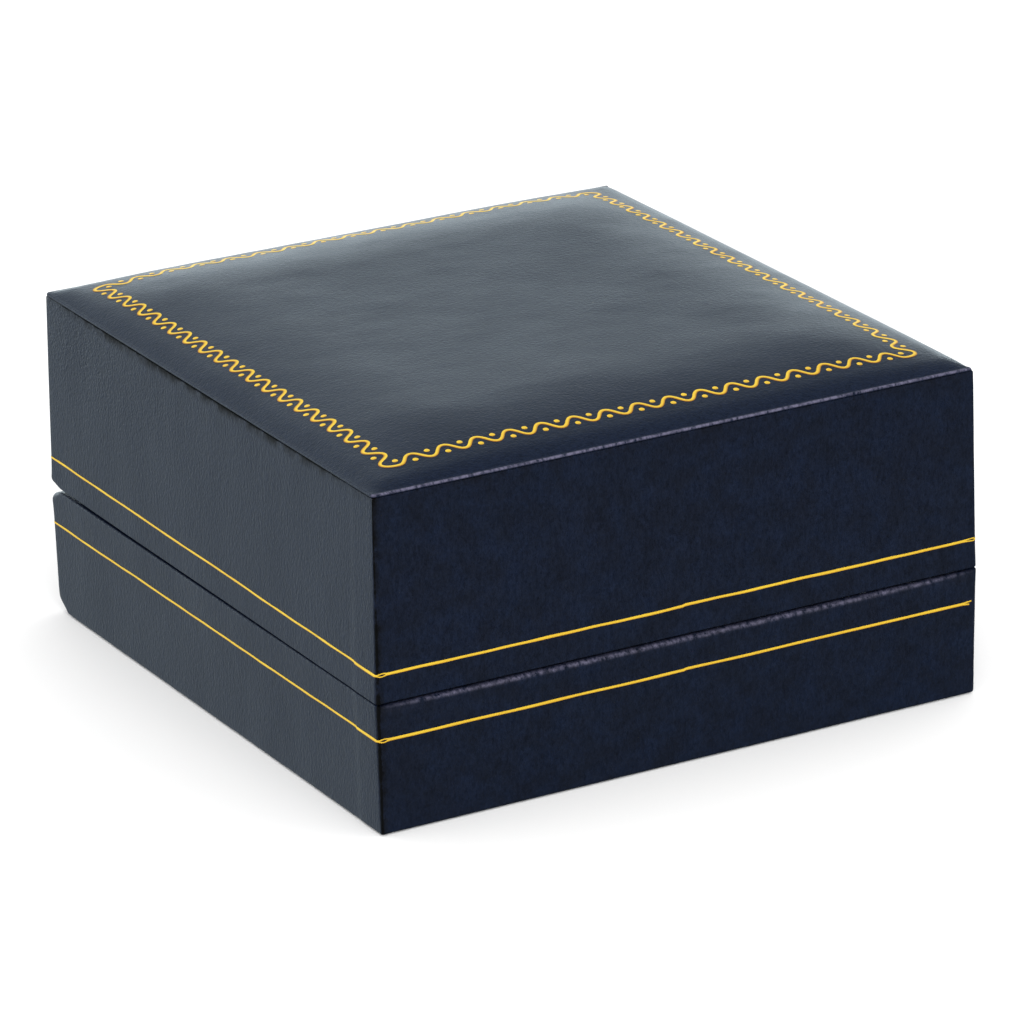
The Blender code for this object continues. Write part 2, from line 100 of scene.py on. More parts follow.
# %% [markdown]
# ## From a grid of points to a mesh
#
# Most pieces are one surface: a grid of points whose rows run along the piece and whose
# columns run across it. A grid can close on itself either way, and a first or last row can be
# capped. One helper turns any such grid into a mesh, so each piece only has to say where its
# points are. Values that a finish needs, such as how rubbed an edge is, go along as attributes.

# %% The grid helper
def grid_faces(rows, columns, close_rows=False, close_columns=False):
    """Quads between neighbouring points of a grid that is stored row by row."""
    ids = np.arange(rows * columns).reshape(rows, columns)
    if close_rows:
        ids = np.vstack([ids, ids[:1]])
    if close_columns:
        ids = np.hstack([ids, ids[:, :1]])
    return np.stack([ids[:-1, :-1], ids[1:, :-1], ids[1:, 1:], ids[:-1, 1:]], -1).reshape(-1, 4)


def add_mesh(name, points, faces, material, sharp=50.0, **values):
    """A mesh object at the origin, smooth but for edges that turn more than sharp degrees."""
    mesh = bpy.data.meshes.new(name)
    mesh.from_pydata(points.reshape(-1, 3).tolist(), [], faces)
    mesh.shade_smooth()
    mesh.set_sharp_from_angle(angle=math.radians(sharp))
    for key, value in values.items():
        attribute = mesh.attributes.new(key, "FLOAT", "POINT")
        attribute.data.foreach_set("value", np.broadcast_to(value, points.shape[:-1]).ravel())
    mesh.materials.append(material)
    piece = bpy.data.objects.new(name, mesh)
    bpy.context.scene.collection.objects.link(piece)
    print(f"{name}: {len(mesh.vertices)} points, {len(mesh.polygons)} faces")
    return piece


def add_grid(name, points, material, close_rows=True, close_columns=True, caps=False, **values):
    """A surface from a grid of points; caps close its first and last columns."""
    rows, columns = points.shape[:2]
    faces = grid_faces(rows, columns, close_rows, close_columns).tolist()
    if caps:
        ring = np.arange(rows) * columns
        faces += [ring[::-1].tolist(), (ring + columns - 1).tolist()]
    return add_mesh(name, points, faces, material, **values)


# %% [markdown]
# ## Uneven, as made by hand
#
# Leatherette glued over moulded plastic is never quite flat: it rolls by a few hundredths of a
# millimetre, and only the reflections show it. Eight sine waves in random directions, with
# wavelengths round one size, give such a surface. The draws are seeded, so each run is the same.

# %% Gentle unevenness
SINES = 8


def uneven(points, size, seed, stretch=(1.0, 1.0, 1.0)):
    """Sum of eight sine waves through space, about -1 to 1; wavelengths lie round size."""
    draws = np.random.default_rng(seed)
    directions = draws.normal(size=(SINES, 3))
    directions /= np.linalg.norm(directions, axis=1)[:, None]
    waves = directions * (2 * np.pi / (size * draws.uniform(0.6, 1.6, SINES)))[:, None]
    phases = draws.uniform(0, 2 * np.pi, SINES)
    return np.sin((points / np.array(stretch)) @ waves.T + phases).sum(-1) * 2 / SINES


print("unevenness at three places:", uneven(np.eye(3) * 10 * mm, 15 * mm, 1).round(2))


# %% [markdown]
# ## Node groups for the finishes
#
# Several finishes share the same effects: a grain, rubbed edges, a woven or brushed line and a
# few specks of dust. Each effect is a node group with named sockets, built once and placed in
# every material that needs it with that material's own values. The shaders stay outside.

# %% Helpers for nodes
def add_node(tree, kind, inputs=None, **settings):
    """Adds a node. An input is a value, or the output socket that feeds it."""
    made = tree.nodes.new("ShaderNode" + kind)
    for key, value in settings.items():
        setattr(made, key, value)
    for key, value in (inputs or {}).items():
        if isinstance(value, bpy.types.NodeSocket):
            tree.links.new(value, made.inputs[key])
        else:
            made.inputs[key].default_value = value
    return made


def maths(tree, operation, first, second=0.5, clamp=False):
    """One step of arithmetic on values or sockets."""
    return add_node(tree, "Math", {0: first, 1: second}, operation=operation, use_clamp=clamp).outputs[0]


def new_group(name, inputs, outputs):
    """A shader node group; inputs give each socket's kind and first value."""
    tree = bpy.data.node_groups.new(name, "ShaderNodeTree")
    for key, (kind, value) in inputs.items():
        socket = tree.interface.new_socket(key, in_out="INPUT", socket_type="NodeSocket" + kind)
        if value is not None:
            socket.default_value = value
    for key, kind in outputs.items():
        tree.interface.new_socket(key, in_out="OUTPUT", socket_type="NodeSocket" + kind)
    return tree, tree.nodes.new("NodeGroupInput").outputs, tree.nodes.new("NodeGroupOutput").inputs


# %% [markdown]
# ## Leather grain
#
# Embossed leatherette has fine pores and creases of about a third of a millimetre, and pulling
# it round a wall draws them out along the pull. Two noises, one coarse and one fine, give the
# height. The vector is stretched before it comes in, so walls get drawn grain and the top doesn't.

# %% The grain group
GRAIN, takes, gives = new_group(
    "grain",
    {"Vector": ("Vector", None), "Size": ("Float", 3000.0), "Creases": ("Float", 0.5)},
    {"Height": "Float", "Tone": "Float"})
coarse = add_node(GRAIN, "TexNoise", {"Vector": takes["Vector"], "Scale": takes["Size"], "Detail": 3.0,
                                      "Roughness": 0.6})
fine_size = maths(GRAIN, "MULTIPLY", takes["Size"], 2.7)
cells = add_node(GRAIN, "TexVoronoi", {"Vector": takes["Vector"], "Scale": fine_size},
                 feature="SMOOTH_F1")
creases = maths(GRAIN, "MULTIPLY", cells.outputs["Distance"], takes["Creases"])
GRAIN.links.new(maths(GRAIN, "ADD", coarse.outputs["Fac"], creases), gives["Height"])
patch_size = maths(GRAIN, "MULTIPLY", takes["Size"], 0.06)
patches = add_node(GRAIN, "TexNoise", {"Vector": takes["Vector"], "Scale": patch_size, "Detail": 4.0})
tone = maths(GRAIN, "ADD", maths(GRAIN, "MULTIPLY", patches.outputs["Fac"], 0.6),
             maths(GRAIN, "MULTIPLY", coarse.outputs["Fac"], 0.4))
GRAIN.links.new(tone, gives["Tone"])
print("grain gives", [socket.name for socket in gives if socket.name])

# %% [markdown]
# ## Edge marks
#
# Handling polishes or pales a box first along its edges. Each piece carries attributes that are
# 1 on such an edge and fall to 0 beside it: pale wear with painted highlight, and crease lines of
# painted shade. The group breaks such a mask up with noise, so that the mark comes and goes
# along an edge and never looks like a drawn line.

# %% The edge mark group
EDGE_MARKS, takes, gives = new_group(
    "edge_marks",
    {"Edge": ("Float", 0.0), "Vector": ("Vector", None), "Size": ("Float", 400.0),
     "Amount": ("Float", 0.7)},
    {"Mask": "Float"})
ragged = add_node(EDGE_MARKS, "TexNoise", {"Vector": takes["Vector"], "Scale": takes["Size"], "Detail": 5.0,
                                     "Roughness": 0.7})
kept = add_node(EDGE_MARKS, "MapRange", {"Value": ragged.outputs["Fac"], "From Min": 0.36, "From Max": 0.62})
edge_kept = maths(EDGE_MARKS, "MULTIPLY", takes["Edge"], kept.outputs["Result"])
EDGE_MARKS.links.new(maths(EDGE_MARKS, "MULTIPLY", edge_kept, takes["Amount"], clamp=True), gives["Mask"])
print("wear takes", [socket.name for socket in takes if socket.name])

# %% [markdown]
# ## Specks
#
# A dark satin surface always shows a little dust and a few light nicks. Only the middles of
# widely spaced Voronoi cells pass a narrow threshold, and a noise drops most of those.

# %% The dust group
DUST, takes, gives = new_group(
    "dust", {"Vector": ("Vector", None), "Size": ("Float", 500.0), "Reach": ("Float", 0.12)},
    {"Mask": "Float"})
spots = add_node(DUST, "TexVoronoi", {"Vector": takes["Vector"], "Scale": takes["Size"]})
near = maths(DUST, "LESS_THAN", spots.outputs["Distance"], takes["Reach"])
few = add_node(DUST, "SeparateColor", {"Color": spots.outputs["Color"]})
rare = maths(DUST, "GREATER_THAN", few.outputs["Red"], 0.9)
DUST.links.new(maths(DUST, "MULTIPLY", near, rare), gives["Mask"])


def place_group(tree, group, **inputs):
    """Puts a node group in a material; underscores in names stand for spaces."""
    made = add_node(tree, "Group", node_tree=group)
    for key, value in inputs.items():
        socket = made.inputs[key.replace("_", " ")]
        if isinstance(value, bpy.types.NodeSocket):
            tree.links.new(value, socket)
        else:
            socket.default_value = value
    return made.outputs


# %% [markdown]
# ## Starting a material
#
# Every material here begins the same way: a Principled shader whose constant values are set on
# its own sockets, and Object coordinates, which every piece shares because its place is in its
# mesh. Colours, roughness and bump are then fed by the groups.

# %% Material helpers
def new_material(name, **settings):
    """A material with a Principled shader, and its tree, shader and Object coordinates."""
    material = bpy.data.materials.new(name)
    material.use_nodes = True
    tree = material.node_tree
    shader = tree.nodes["Principled BSDF"]
    for key, value in settings.items():
        shader.inputs[key.replace("_", " ")].default_value = value
    return material, tree, shader, add_node(tree, "TexCoord").outputs["Object"]


def mask(tree, name):
    """One of the mesh's own attributes, as a value."""
    return add_node(tree, "Attribute", attribute_name=name).outputs["Fac"]


def stretch(tree, vector, scale):
    """The same vector scaled, so that a pattern is drawn out."""
    return add_node(tree, "Mapping", {"Vector": vector, "Scale": scale}).outputs[0]


def blend_colours(tree, share, first, second):
    """One colour shading into another by a mask."""
    mixed = add_node(tree, "Mix", data_type="RGBA")
    for socket, value in ((mixed.inputs[0], share), (mixed.inputs[6], first), (mixed.inputs[7], second)):
        if isinstance(value, bpy.types.NodeSocket):
            tree.links.new(value, socket)
        else:
            socket.default_value = value
    return mixed.outputs[2]


def between(tree, value, low, high, start=0.3, end=0.7):
    """A value from one range carried to another."""
    return add_node(tree, "MapRange", {"Value": value, "From Min": start, "From Max": end,
                                       "To Min": low, "To Max": high}).outputs["Result"]


def bump(tree, shader, height, strength, distance):
    """Small relief from a height, in metres."""
    relief = add_node(tree, "Bump", {"Height": height, "Strength": strength, "Distance": distance})
    tree.links.new(relief.outputs["Normal"], shader.inputs["Normal"])


def feed(tree, shader, **sockets):
    """Links sockets to the shader's inputs."""
    for key, socket in sockets.items():
        tree.links.new(socket, shader.inputs[key.replace("_", " ")])


print("groups:", [group.name for group in bpy.data.node_groups])

# %% [markdown]
# ## Navy leatherette
#
# The cover is embossed paper with a satin coat: nearly black navy, with a soft broad shine that
# grows towards grazing angles. Low specular and middling roughness give that. Three attributes
# mark places: one where a crease line is painted dark as painted shade, one where a pale line of
# wear and painted highlight lies, and pebble, where coarser grain stands out. Walls and top are
# the same finish with the grain drawn differently.

# %% Leatherette
NAVY = (0.0004, 0.0030, 0.0122, 1.0)
NAVY_LIGHT = (0.0042, 0.0095, 0.0270, 1.0)
# painted shade: the dark of the crease lines on the corners and of the shadow under the lid's lip
CREASE_SHADE = (0.0012, 0.0012, 0.0018, 1.0)
# thumb wear and painted highlight: the pale lavender of the rubbed front edges
RUBBED_HIGHLIGHT = (0.105, 0.100, 0.155, 1.0)
DUSTY = (0.13, 0.11, 0.08, 1.0)
GRAIN_SIZE, PEBBLE_SIZE = 2300.0, 1300.0
CREASE_SHADE_SIZE, RUB_HIGHLIGHT_SIZE, DUST_SIZE = 300.0, 1500.0, 170.0


def leatherette(name, drawn, relief, roughness=(0.36, 0.46)):
    """Leatherette with its grain drawn out by the given scale along each axis."""
    material, tree, shader, place = new_material(name, Specular_IOR_Level=0.3)
    grain = place_group(tree, GRAIN, Vector=stretch(tree, place, drawn), Size=GRAIN_SIZE, Creases=0.45)
    pebbles = place_group(tree, GRAIN, Vector=place, Size=PEBBLE_SIZE, Creases=0.8)
    dust = place_group(tree, DUST, Vector=place, Size=DUST_SIZE, Reach=0.018)
    pebble = mask(tree, "pebble")
    fold = mask(tree, "fold")
    rub = mask(tree, "rub")
    # painted shade along the corner creases and under the lip
    crease_shade_mask = place_group(tree, EDGE_MARKS, Edge=fold, Vector=place, Size=CREASE_SHADE_SIZE, Amount=2.4)
    # wear and painted highlight along the front edges
    rubbed = place_group(tree, EDGE_MARKS, Edge=rub, Vector=stretch(tree, place, (1.0, 1.0, 0.3)),
                         Size=RUB_HIGHLIGHT_SIZE, Amount=1.25)
    tone = maths(tree, "ADD", maths(tree, "MULTIPLY", grain["Height"], 0.6),
                 maths(tree, "MULTIPLY", pebbles["Height"], 0.3))
    tone = maths(tree, "ADD", tone, maths(tree, "MULTIPLY", pebbles["Tone"], 0.1))
    colour = blend_colours(tree, between(tree, tone, 0.0, 1.0, 0.45, 0.85), NAVY, NAVY_LIGHT)
    # the pale line is wear with painted highlight; the dark line is painted crease shade
    colour = blend_colours(tree, rubbed["Mask"], colour, RUBBED_HIGHLIGHT)
    colour = blend_colours(tree, crease_shade_mask["Mask"], colour, CREASE_SHADE)
    colour = blend_colours(tree, dust["Mask"], colour, DUSTY)
    rough = between(tree, grain["Tone"], *roughness)
    rough = maths(tree, "ADD", rough, maths(tree, "MULTIPLY", crease_shade_mask["Mask"], 0.3))
    feed(tree, shader, Base_Color=colour, Roughness=rough)
    height = maths(tree, "ADD", grain["Height"], maths(tree, "MULTIPLY", pebbles["Height"], pebble))
    bump(tree, shader, height, 0.6, relief)
    return material


WALL_LEATHER = leatherette("leatherette_walls", (1.0, 1.0, 0.4), 0.15 * mm)
TOP_LEATHER = leatherette("leatherette_top", (0.6, 1.0, 1.0), 0.11 * mm, roughness=(0.33, 0.41))
print("leatherettes:", WALL_LEATHER.name, TOP_LEATHER.name)

# %% [markdown]
# ## Hot stamped gold
#
# The foil is a film thinner than a hair, pressed on with a heated brass die. It is bright, and
# not quite a mirror: the grain under it scatters its shine, and here and there it thins out.
# The lower side of every line and dot is painted a deep orange as painted shade, marked by an attribute.

# %% Foil
GOLD = (1.0, 0.70, 0.055, 1.0)
GOLD_DEEP = (0.85, 0.50, 0.04, 1.0)
# painted shade: the deep orange of the foil's lower side
GOLD_SHADE = (0.42, 0.17, 0.012, 1.0)
FOIL, tree, shader, place = new_material("gold_foil", Metallic=0.4, Specular_IOR_Level=0.3)
grain = place_group(tree, GRAIN, Vector=place, Size=2600.0, Creases=0.3)
low_edge = mask(tree, "low_edge")
colour = blend_colours(tree, between(tree, grain["Tone"], 0.0, 0.7), GOLD, GOLD_DEEP)
feed(tree, shader, Base_Color=blend_colours(tree, low_edge, colour, GOLD_SHADE),
     Roughness=between(tree, grain["Height"], 0.34, 0.5))
bump(tree, shader, grain["Height"], 0.35, 0.03 * mm)
print("foil:", FOIL.name)

# %% [markdown]
# ## The outline that every skin follows
#
# Lid and base are rounded rectangles whose size changes with height. The outline is kept as
# stations: each knows its share of the straight half-sides and which way is out, so the same
# stations serve at any inset. They stand about a millimetre apart, closer where something
# happens: at the corners, at the hinge's notch and where the wrap overlaps itself.

# %% Stations round the box
STEP = 1.2 * mm
NOTCH = 23.3 * mm           # half the length of the gap that the hinge's knuckles sit in
OVERLAP_Y = -41.75 * mm     # where the wrap's end lies over its beginning, on the left
CORNER_STEPS = 12
STRAIGHT_W, STRAIGHT_D = HALF_W - CORNER, HALF_D - CORNER


def side(half, extra=()):
    """Places along a straight side, evenly spaced, with some extra ones."""
    even = np.linspace(-half, half, math.ceil(2 * half / STEP) + 1)[1:-1]
    return np.unique(np.concatenate([even, extra]))


def corner(share_x, share_y, start):
    """Rows of (share x, share y, out x, out y) round a quarter circle from an angle."""
    angle = math.radians(start) + np.linspace(0, np.pi / 2, CORNER_STEPS + 1)
    return np.stack([np.full_like(angle, share_x), np.full_like(angle, share_y), np.cos(angle),
                     np.sin(angle)], -1)


def straight(places, share_x, share_y, out_x, out_y):
    """Rows of the same kind along a straight side; the share left as None runs along it."""
    columns = [places if value is None else np.full_like(places, value)
               for value in (share_x, share_y, out_x, out_y)]
    return np.stack(columns, -1)


NOTCH_SLOPE = 0.05 * mm     # half the length of the step at either end of the notch
notch_ends = [sign * (NOTCH + nudge) for sign in (-1, 1) for nudge in (-NOTCH_SLOPE, NOTCH_SLOPE)]
overlap = OVERLAP_Y + np.arange(-9, 10) * 0.15 * mm
near_corner = -STRAIGHT_W + np.array([0.3, 0.6, 0.9]) * mm
across = side(STRAIGHT_W, near_corner) / STRAIGHT_W
back = side(STRAIGHT_W, notch_ends) / STRAIGHT_W
up_left = side(STRAIGHT_D, overlap) / STRAIGHT_D
up_right = side(STRAIGHT_D) / STRAIGHT_D
STATIONS = np.concatenate([
    corner(-1, 1, 90), straight(up_left[::-1], -1, None, -1, 0),
    corner(-1, -1, 180), straight(across, None, -1, 0, -1),
    corner(1, -1, 270), straight(up_right, 1, None, 1, 0),
    corner(1, 1, 0), straight(back[::-1], None, 1, 0, 1)])
print("stations:", len(STATIONS))


def outline(inset, height, stations=STATIONS, half=(HALF_W, HALF_D), corner_radius=None):
    """Points at an inset from the outline and at a height: share x straight half-side plus
    out x corner radius, where the radius shrinks with the inset unless one is given."""
    inset, height = np.broadcast_arrays(inset, height)
    share_x, share_y, out_x, out_y = stations.T[:, :, None]
    radius = np.maximum(CORNER - inset, 0.05 * mm) if corner_radius is None else corner_radius
    x = share_x * (half[0] - inset - radius) + radius * out_x
    y = share_y * (half[1] - inset - radius) + radius * out_y
    return np.stack([x, y, height + 0 * x], -1)


# %% [markdown]
# ## Marks along the edges
#
# The leatherette's finish asks where its edges are. Upright corners get a dark line a few tenths
# of a millimetre wide, most of all the near left one: a crease with painted shade over it. The
# front edges get a pale line of thumb wear and painted highlight. The masks come from the
# stations, so that they follow the surface.

# %% Edge masks
OUT_X, OUT_Y = STATIONS[:, 2], STATIONS[:, 3]
PLAN = outline(0.0, 0.0)[:, 0, :2]
TURN = np.degrees(np.arctan2(OUT_Y, OUT_X)) % 360
FACES_FRONT = np.clip(-OUT_Y, 0, 1)
FACES_BACK = np.clip(OUT_Y, 0, 1)
FACES_LEFT = np.clip(-OUT_X, 0, 1)
FACES_RIGHT = np.clip(OUT_X, 0, 1)
IN_NOTCH = (FACES_BACK > 0.99) & (np.abs(PLAN[:, 0]) < NOTCH)


def bell(value, centre, width):
    """1 at a centre, falling to 0 a width or two away: exp(-((value - centre) / width)^2)."""
    return np.exp(-((value - centre) / width) ** 2)


# Where painted crease shade lies: its middle and width, in degrees round the corner, and how dark it is.
CREASE_SHADE_TURNS = ((240, 20.0, 1.3), (315, 14.0, 0.5), (135, 14.0, 0.6), (45, 14.0, 0.5))
MARGIN, MARGIN_WIDTH = 0.28, 0.5 * mm       # the fainter dark beside the near left corner
CORNER_CREASE_SHADE = sum(weight * bell(TURN, turn, width) for turn, width, weight in CREASE_SHADE_TURNS)
CORNER_CREASE_SHADE = CORNER_CREASE_SHADE + MARGIN * FACES_FRONT * bell(PLAN[:, 0], -STRAIGHT_W, MARGIN_WIDTH)
AWAY_FROM_ENDS = 1 - np.abs(PLAN[:, 0] / HALF_W) ** 6
print("strongest crease:", CORNER_CREASE_SHADE.max().round(2))

# %% [markdown]
# ## Profiles made of folds
#
# Seen from its end, the cover is a strip folded round board: under the foot, up the wall, over
# the rim and down inside. Each fold is an arc that starts and ends at given angles. A profile
# is a list of such pieces, and every station may have its own radii, so the front rim can be
# rolled, the back rim rounder, and the rim can dip where the hinge's knuckles sit.

# %% Pieces of a profile
def column(value):
    """A value for every station, as one column."""
    return np.broadcast_to(np.asarray(value, float), (len(STATIONS),))[:, None]


def arc(centre_inset, centre_height, radius, start, end, steps=5):
    """An arc of the profile: inset = centre - r cos a, height = centre + r sin a."""
    angle = np.radians(np.linspace(start, end, steps + 1))
    return (column(centre_inset) - column(radius) * np.cos(angle),
            column(centre_height) + column(radius) * np.sin(angle))


def run(inset, height_from, height_to, steps):
    """A straight piece between two heights, without its ends; the inset may follow the height."""
    share = np.linspace(0, 1, steps + 2)[1:-1]
    height = column(height_from) * (1 - share) + column(height_to) * share
    return (inset(height) if callable(inset) else column(inset) + 0 * height, height)


def point(inset, height):
    """One place of the profile, as a piece with a single column."""
    return column(inset), column(height)


def profile(*pieces):
    """Pieces side by side as two tables, station by column: insets and heights."""
    return (np.concatenate([piece[0] for piece in pieces], 1),
            np.concatenate([piece[1] for piece in pieces], 1))


# %% [markdown]
# ## Walls that give a little
#
# The same small departures from flat belong to the skins and to the gold pressed into them, so
# they are one function: the gentle unevenness, a slight swelling where the cover is turned in
# at a rim, and a step where the wrap overlaps. It tells how far the wall stands out at a place.

# %% How far a wall stands out
SWELL, SWELL_WIDTH = 0.07 * mm, 2.2 * mm
OVERLAP_THICK, OVERLAP_SLOPE = 0.07 * mm, 1.8 * mm
WALL_DEPTH = 2.0 * mm       # the departures fade over this depth, so that inner faces stay flat


def stand_out(points, rim, seed):
    """Unevenness in two sizes, plus a bell-shaped swelling at the rim, plus the overlap's end,
    which comes up as a smooth step, 3 s^2 - 2 s^3."""
    swell = SWELL * bell(points[..., 2], rim, SWELL_WIDTH)
    roll = 0.03 * mm * uneven(points, 17 * mm, seed) + 0.008 * mm * uneven(points, 5 * mm, seed + 1)
    past = np.clip((OVERLAP_Y + OVERLAP_SLOPE / 2 - points[..., 1]) / OVERLAP_SLOPE, 0, 1)
    on_left = np.clip((-points[..., 0] - HALF_W + 1.2 * mm) / (0.4 * mm), 0, 1)
    return swell + roll + OVERLAP_THICK * on_left * past * past * (3 - 2 * past)


def skin_points(insets, heights, rim, seed):
    """The profile carried round the outline, then moved out by what the wall stands out."""
    level = outline(insets, heights)
    wall = np.clip(1 - insets / WALL_DEPTH, 0, 1)
    return outline(insets - wall * stand_out(level, rim, seed), heights)


# %% [markdown]
# ## The base's skin
#
# One strip of leatherette goes round the base, is turned in under it and over its rim. The
# front rim is rolled rounder towards the middle, where a thumb opens the box, and the back
# edges are rounder still. Along the sides the rim rises a little towards the back, because the
# lid leans. Between the hinge's ends the rim is cut down to the bare wall.

# %% Base skin
FOOT = 0.1 * mm
TURN_UNDER = 6.0 * mm
RIM_WIDTH = 2.35 * mm       # from the outside to the lining
NOTCH_DROP = 0.78 * mm      # how far the rim is cut down for the knuckles
ROLL = 0.2 * mm
BASE_SEED = 11
BACK_REACH = 3.2 * mm       # how far before the back the edges start to grow rounder
OUTSIDE = 1.0 * mm          # insets under this are on the outer face


def base_inset(height):
    """The base's wall leans in towards its foot."""
    return BASE_DRAFT * (1 - height / BASE_TOP)


near_back = np.clip((PLAN[:, 1] - HALF_D + BACK_REACH) / (3.0 * mm), 0, 1)
near_back = near_back * near_back * (3 - 2 * near_back)
foot_round = 0.45 * mm + 2.05 * mm * near_back
rim_round = 0.3 * mm + 1.0 * mm * near_back + 0.55 * mm * FACES_FRONT * AWAY_FROM_ENDS
rim_round = np.where(IN_NOTCH, 0.2 * mm, rim_round)
rim_height = np.where(IN_NOTCH, BASE_TOP - NOTCH_DROP, BASE_TOP)
side_rise = (0.39 + 0.19 * PLAN[:, 1] / HALF_D) * mm * (1 - near_back)
rim_height = rim_height + side_rise * np.maximum(FACES_LEFT, FACES_RIGHT)
rim_height = rim_height - 0.1 * mm * FACES_FRONT * AWAY_FROM_ENDS
rim_width = np.where(IN_NOTCH, COVER, RIM_WIDTH)
inner_foot = np.maximum(foot_round - COVER, 0.05 * mm)
inner_rim = np.maximum(rim_round - COVER, 0.05 * mm)
insets, heights = profile(
    point(TURN_UNDER, COVER),
    point(TURN_UNDER, FOOT),
    arc(foot_round + BASE_DRAFT, FOOT + foot_round, foot_round, -90, 0, 7),
    run(base_inset, FOOT + foot_round, rim_height - rim_round, 13),
    arc(rim_round, rim_height - rim_round, rim_round, 0, 90, 7),
    arc(rim_width - ROLL, rim_height - ROLL, ROLL, 90, 180, 4),
    point(rim_width, rim_height - COVER - 0.02 * mm),
    arc(COVER + inner_rim, rim_height - COVER - inner_rim, inner_rim, 90, 0, 3),
    arc(COVER + BASE_DRAFT + inner_foot, COVER + FOOT + inner_foot, inner_foot, 0, -90, 3))
base_points = skin_points(insets, heights, BASE_TOP, BASE_SEED)
# a pale line of wear with painted highlight along the front rim
rub = bell(heights, column(rim_height - rim_round * 0.35), 0.22 * mm) * (insets < OUTSIDE)
rub = rub * column(FACES_FRONT * AWAY_FROM_ENDS)
# the upright corners take painted crease shade
base_skin = add_grid("base_skin", base_points, WALL_LEATHER, rub=rub, pebble=0.0,
                     fold=column(CORNER_CREASE_SHADE) * (insets < OUTSIDE))
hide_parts("base_cover")
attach(base_skin, "base")

# %% [markdown]
# ## The lid's skin
#
# The lid is wrapped in the same way, and its wall runs up to just under the lip of the padded
# top. A crease a tenth or two of a millimetre high is left there, widest on the left, and a
# painted shadow under the lip darkens it into the dark line between wall and top. High up and
# far back on the left wall, the grain is coarser: pebbles start at a place along and up the
# wall, and reach full strength further on.

# %% Lid skin
LID_SEED = 23
LIP_SHADOW = 0.24 * mm
PEBBLES_FROM = (-25 * mm, 6 * mm)
PEBBLES_OVER = (60 * mm, 16 * mm)
MID_SIDE = 1 - np.abs(PLAN[:, 1] / HALF_D) ** 3
CREASE_GAP = 0.04 * mm + 0.17 * mm * FACES_LEFT * MID_SIDE + 0.05 * mm * FACES_BACK


def lid_inset(height):
    """The lid's wall leans in towards its top."""
    return LID_DRAFT * height / LID_HEIGHT


lid_round = 0.25 * mm + 0.85 * mm * near_back
lid_round = np.where(IN_NOTCH, 0.2 * mm, lid_round)
lid_rim = np.where(IN_NOTCH, NOTCH_DROP, 0.0)
LIP = 0.4 * mm + 1.4 * mm * FACES_RIGHT ** 2
wall_top = LID_HEIGHT - LIP - CREASE_GAP
inner_round = np.maximum(lid_round - COVER, 0.05 * mm)
insets, heights = profile(
    point(rim_width, lid_rim + COVER + 0.02 * mm),
    arc(rim_width - ROLL, lid_rim + ROLL, ROLL, 180, 270, 4),
    arc(lid_round, lid_rim + lid_round, lid_round, -90, 0, 7),
    run(lid_inset, lid_rim + lid_round, wall_top - ROLL, 22),
    arc(LID_DRAFT + ROLL, wall_top - ROLL, ROLL, 0, 90, 3),
    point(LID_DRAFT + COVER, wall_top),
    point(LID_DRAFT + COVER, wall_top - ROLL),
    arc(COVER + inner_round, lid_rim + COVER + inner_round, inner_round, 0, -90, 3))
lid_points = skin_points(insets, heights, 0.0, LID_SEED)
near_lip = bell(heights, column(wall_top), LIP_SHADOW) * (insets < OUTSIDE)
# painted shadow under the lip, strongest along the middle of the left side
painted_lip_shadow = near_lip * column(0.15 + 0.85 * FACES_LEFT * MID_SIDE)
reach_up = np.clip((heights - PEBBLES_FROM[1]) / PEBBLES_OVER[1], 0, 1)
reach_back = np.clip((column(PLAN[:, 1]) - PEBBLES_FROM[0]) / PEBBLES_OVER[0], 0, 1)
lid_skin = add_grid("lid_skin", lean(lid_points), WALL_LEATHER, rub=0.0,
                    fold=np.clip(column(CORNER_CREASE_SHADE) * (insets < OUTSIDE) + painted_lip_shadow, 0, 1),
                    pebble=1.1 * column(FACES_LEFT) * reach_up * reach_back)
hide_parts("lid_cover")
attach(lid_skin, "lid")

# %% [markdown]
# ## The padded top
#
# A separate sheet lies over foam and is folded down over the walls' edge as a thin lip. The
# crown is highest in the middle and falls off over the last 20 mm, so light runs round its
# border. Rings of points step in from the lip, closely at the fold and wider further in, and
# each ring's height is the crown's. The sheet's underside is a second, coarser set of rings.

# %% Top skin
CROWN_RISE, CROWN_REACH, CROWN_POWER = 2.45 * mm, 20.0 * mm, 2.2
SHOULDER_RISE, SHOULDER_REACH = 0.6 * mm, 3.0 * mm
LEDGE = 0.3 * mm
TOP_HALF = (HALF_W - LID_DRAFT, HALF_D - LID_DRAFT)
LIP_PROUD = 0.04 * mm
LIP_ROUND = 0.2 * mm + 0.75 * mm * FACES_RIGHT ** 2
TOP_SHEET = 0.6 * mm
TOP_SEED = 37
RUB_HIGHLIGHT_PLACE, RUB_HIGHLIGHT_WIDTH = 0.10 * mm, 0.11 * mm     # along the front lip, round its fold


def crown(x, y):
    """Height over the edge: rise times 1 - (1 - reach)^power along x, times the same along y,
    for the padding and again for the short steep shoulder beside the lip."""
    height = CROWN_RISE
    shoulder = SHOULDER_RISE
    for place, half in ((x, TOP_HALF[0]), (y, TOP_HALF[1])):
        inside = np.maximum(half - np.abs(place) - LEDGE, 0)
        height = height * (1 - (1 - np.clip(inside / CROWN_REACH, 0, 1)) ** CROWN_POWER)
        shoulder = shoulder * (1 - (1 - np.clip(inside / SHOULDER_REACH, 0, 1)) ** 2)
    return height + shoulder


def top_face(x, y):
    """Height over the lid's rim of the padded top: the crown and a little unevenness."""
    level = np.stack([x, y, 0 * x], -1)
    inside = np.clip(np.minimum(TOP_HALF[0] - np.abs(x), TOP_HALF[1] - np.abs(y)) / (2 * mm), 0, 1)
    roll = 0.05 * mm * uneven(level, 22 * mm, TOP_SEED) + 0.012 * mm * uneven(level, 6 * mm, TOP_SEED + 1)
    return LID_HEIGHT + crown(x, y) + inside * roll


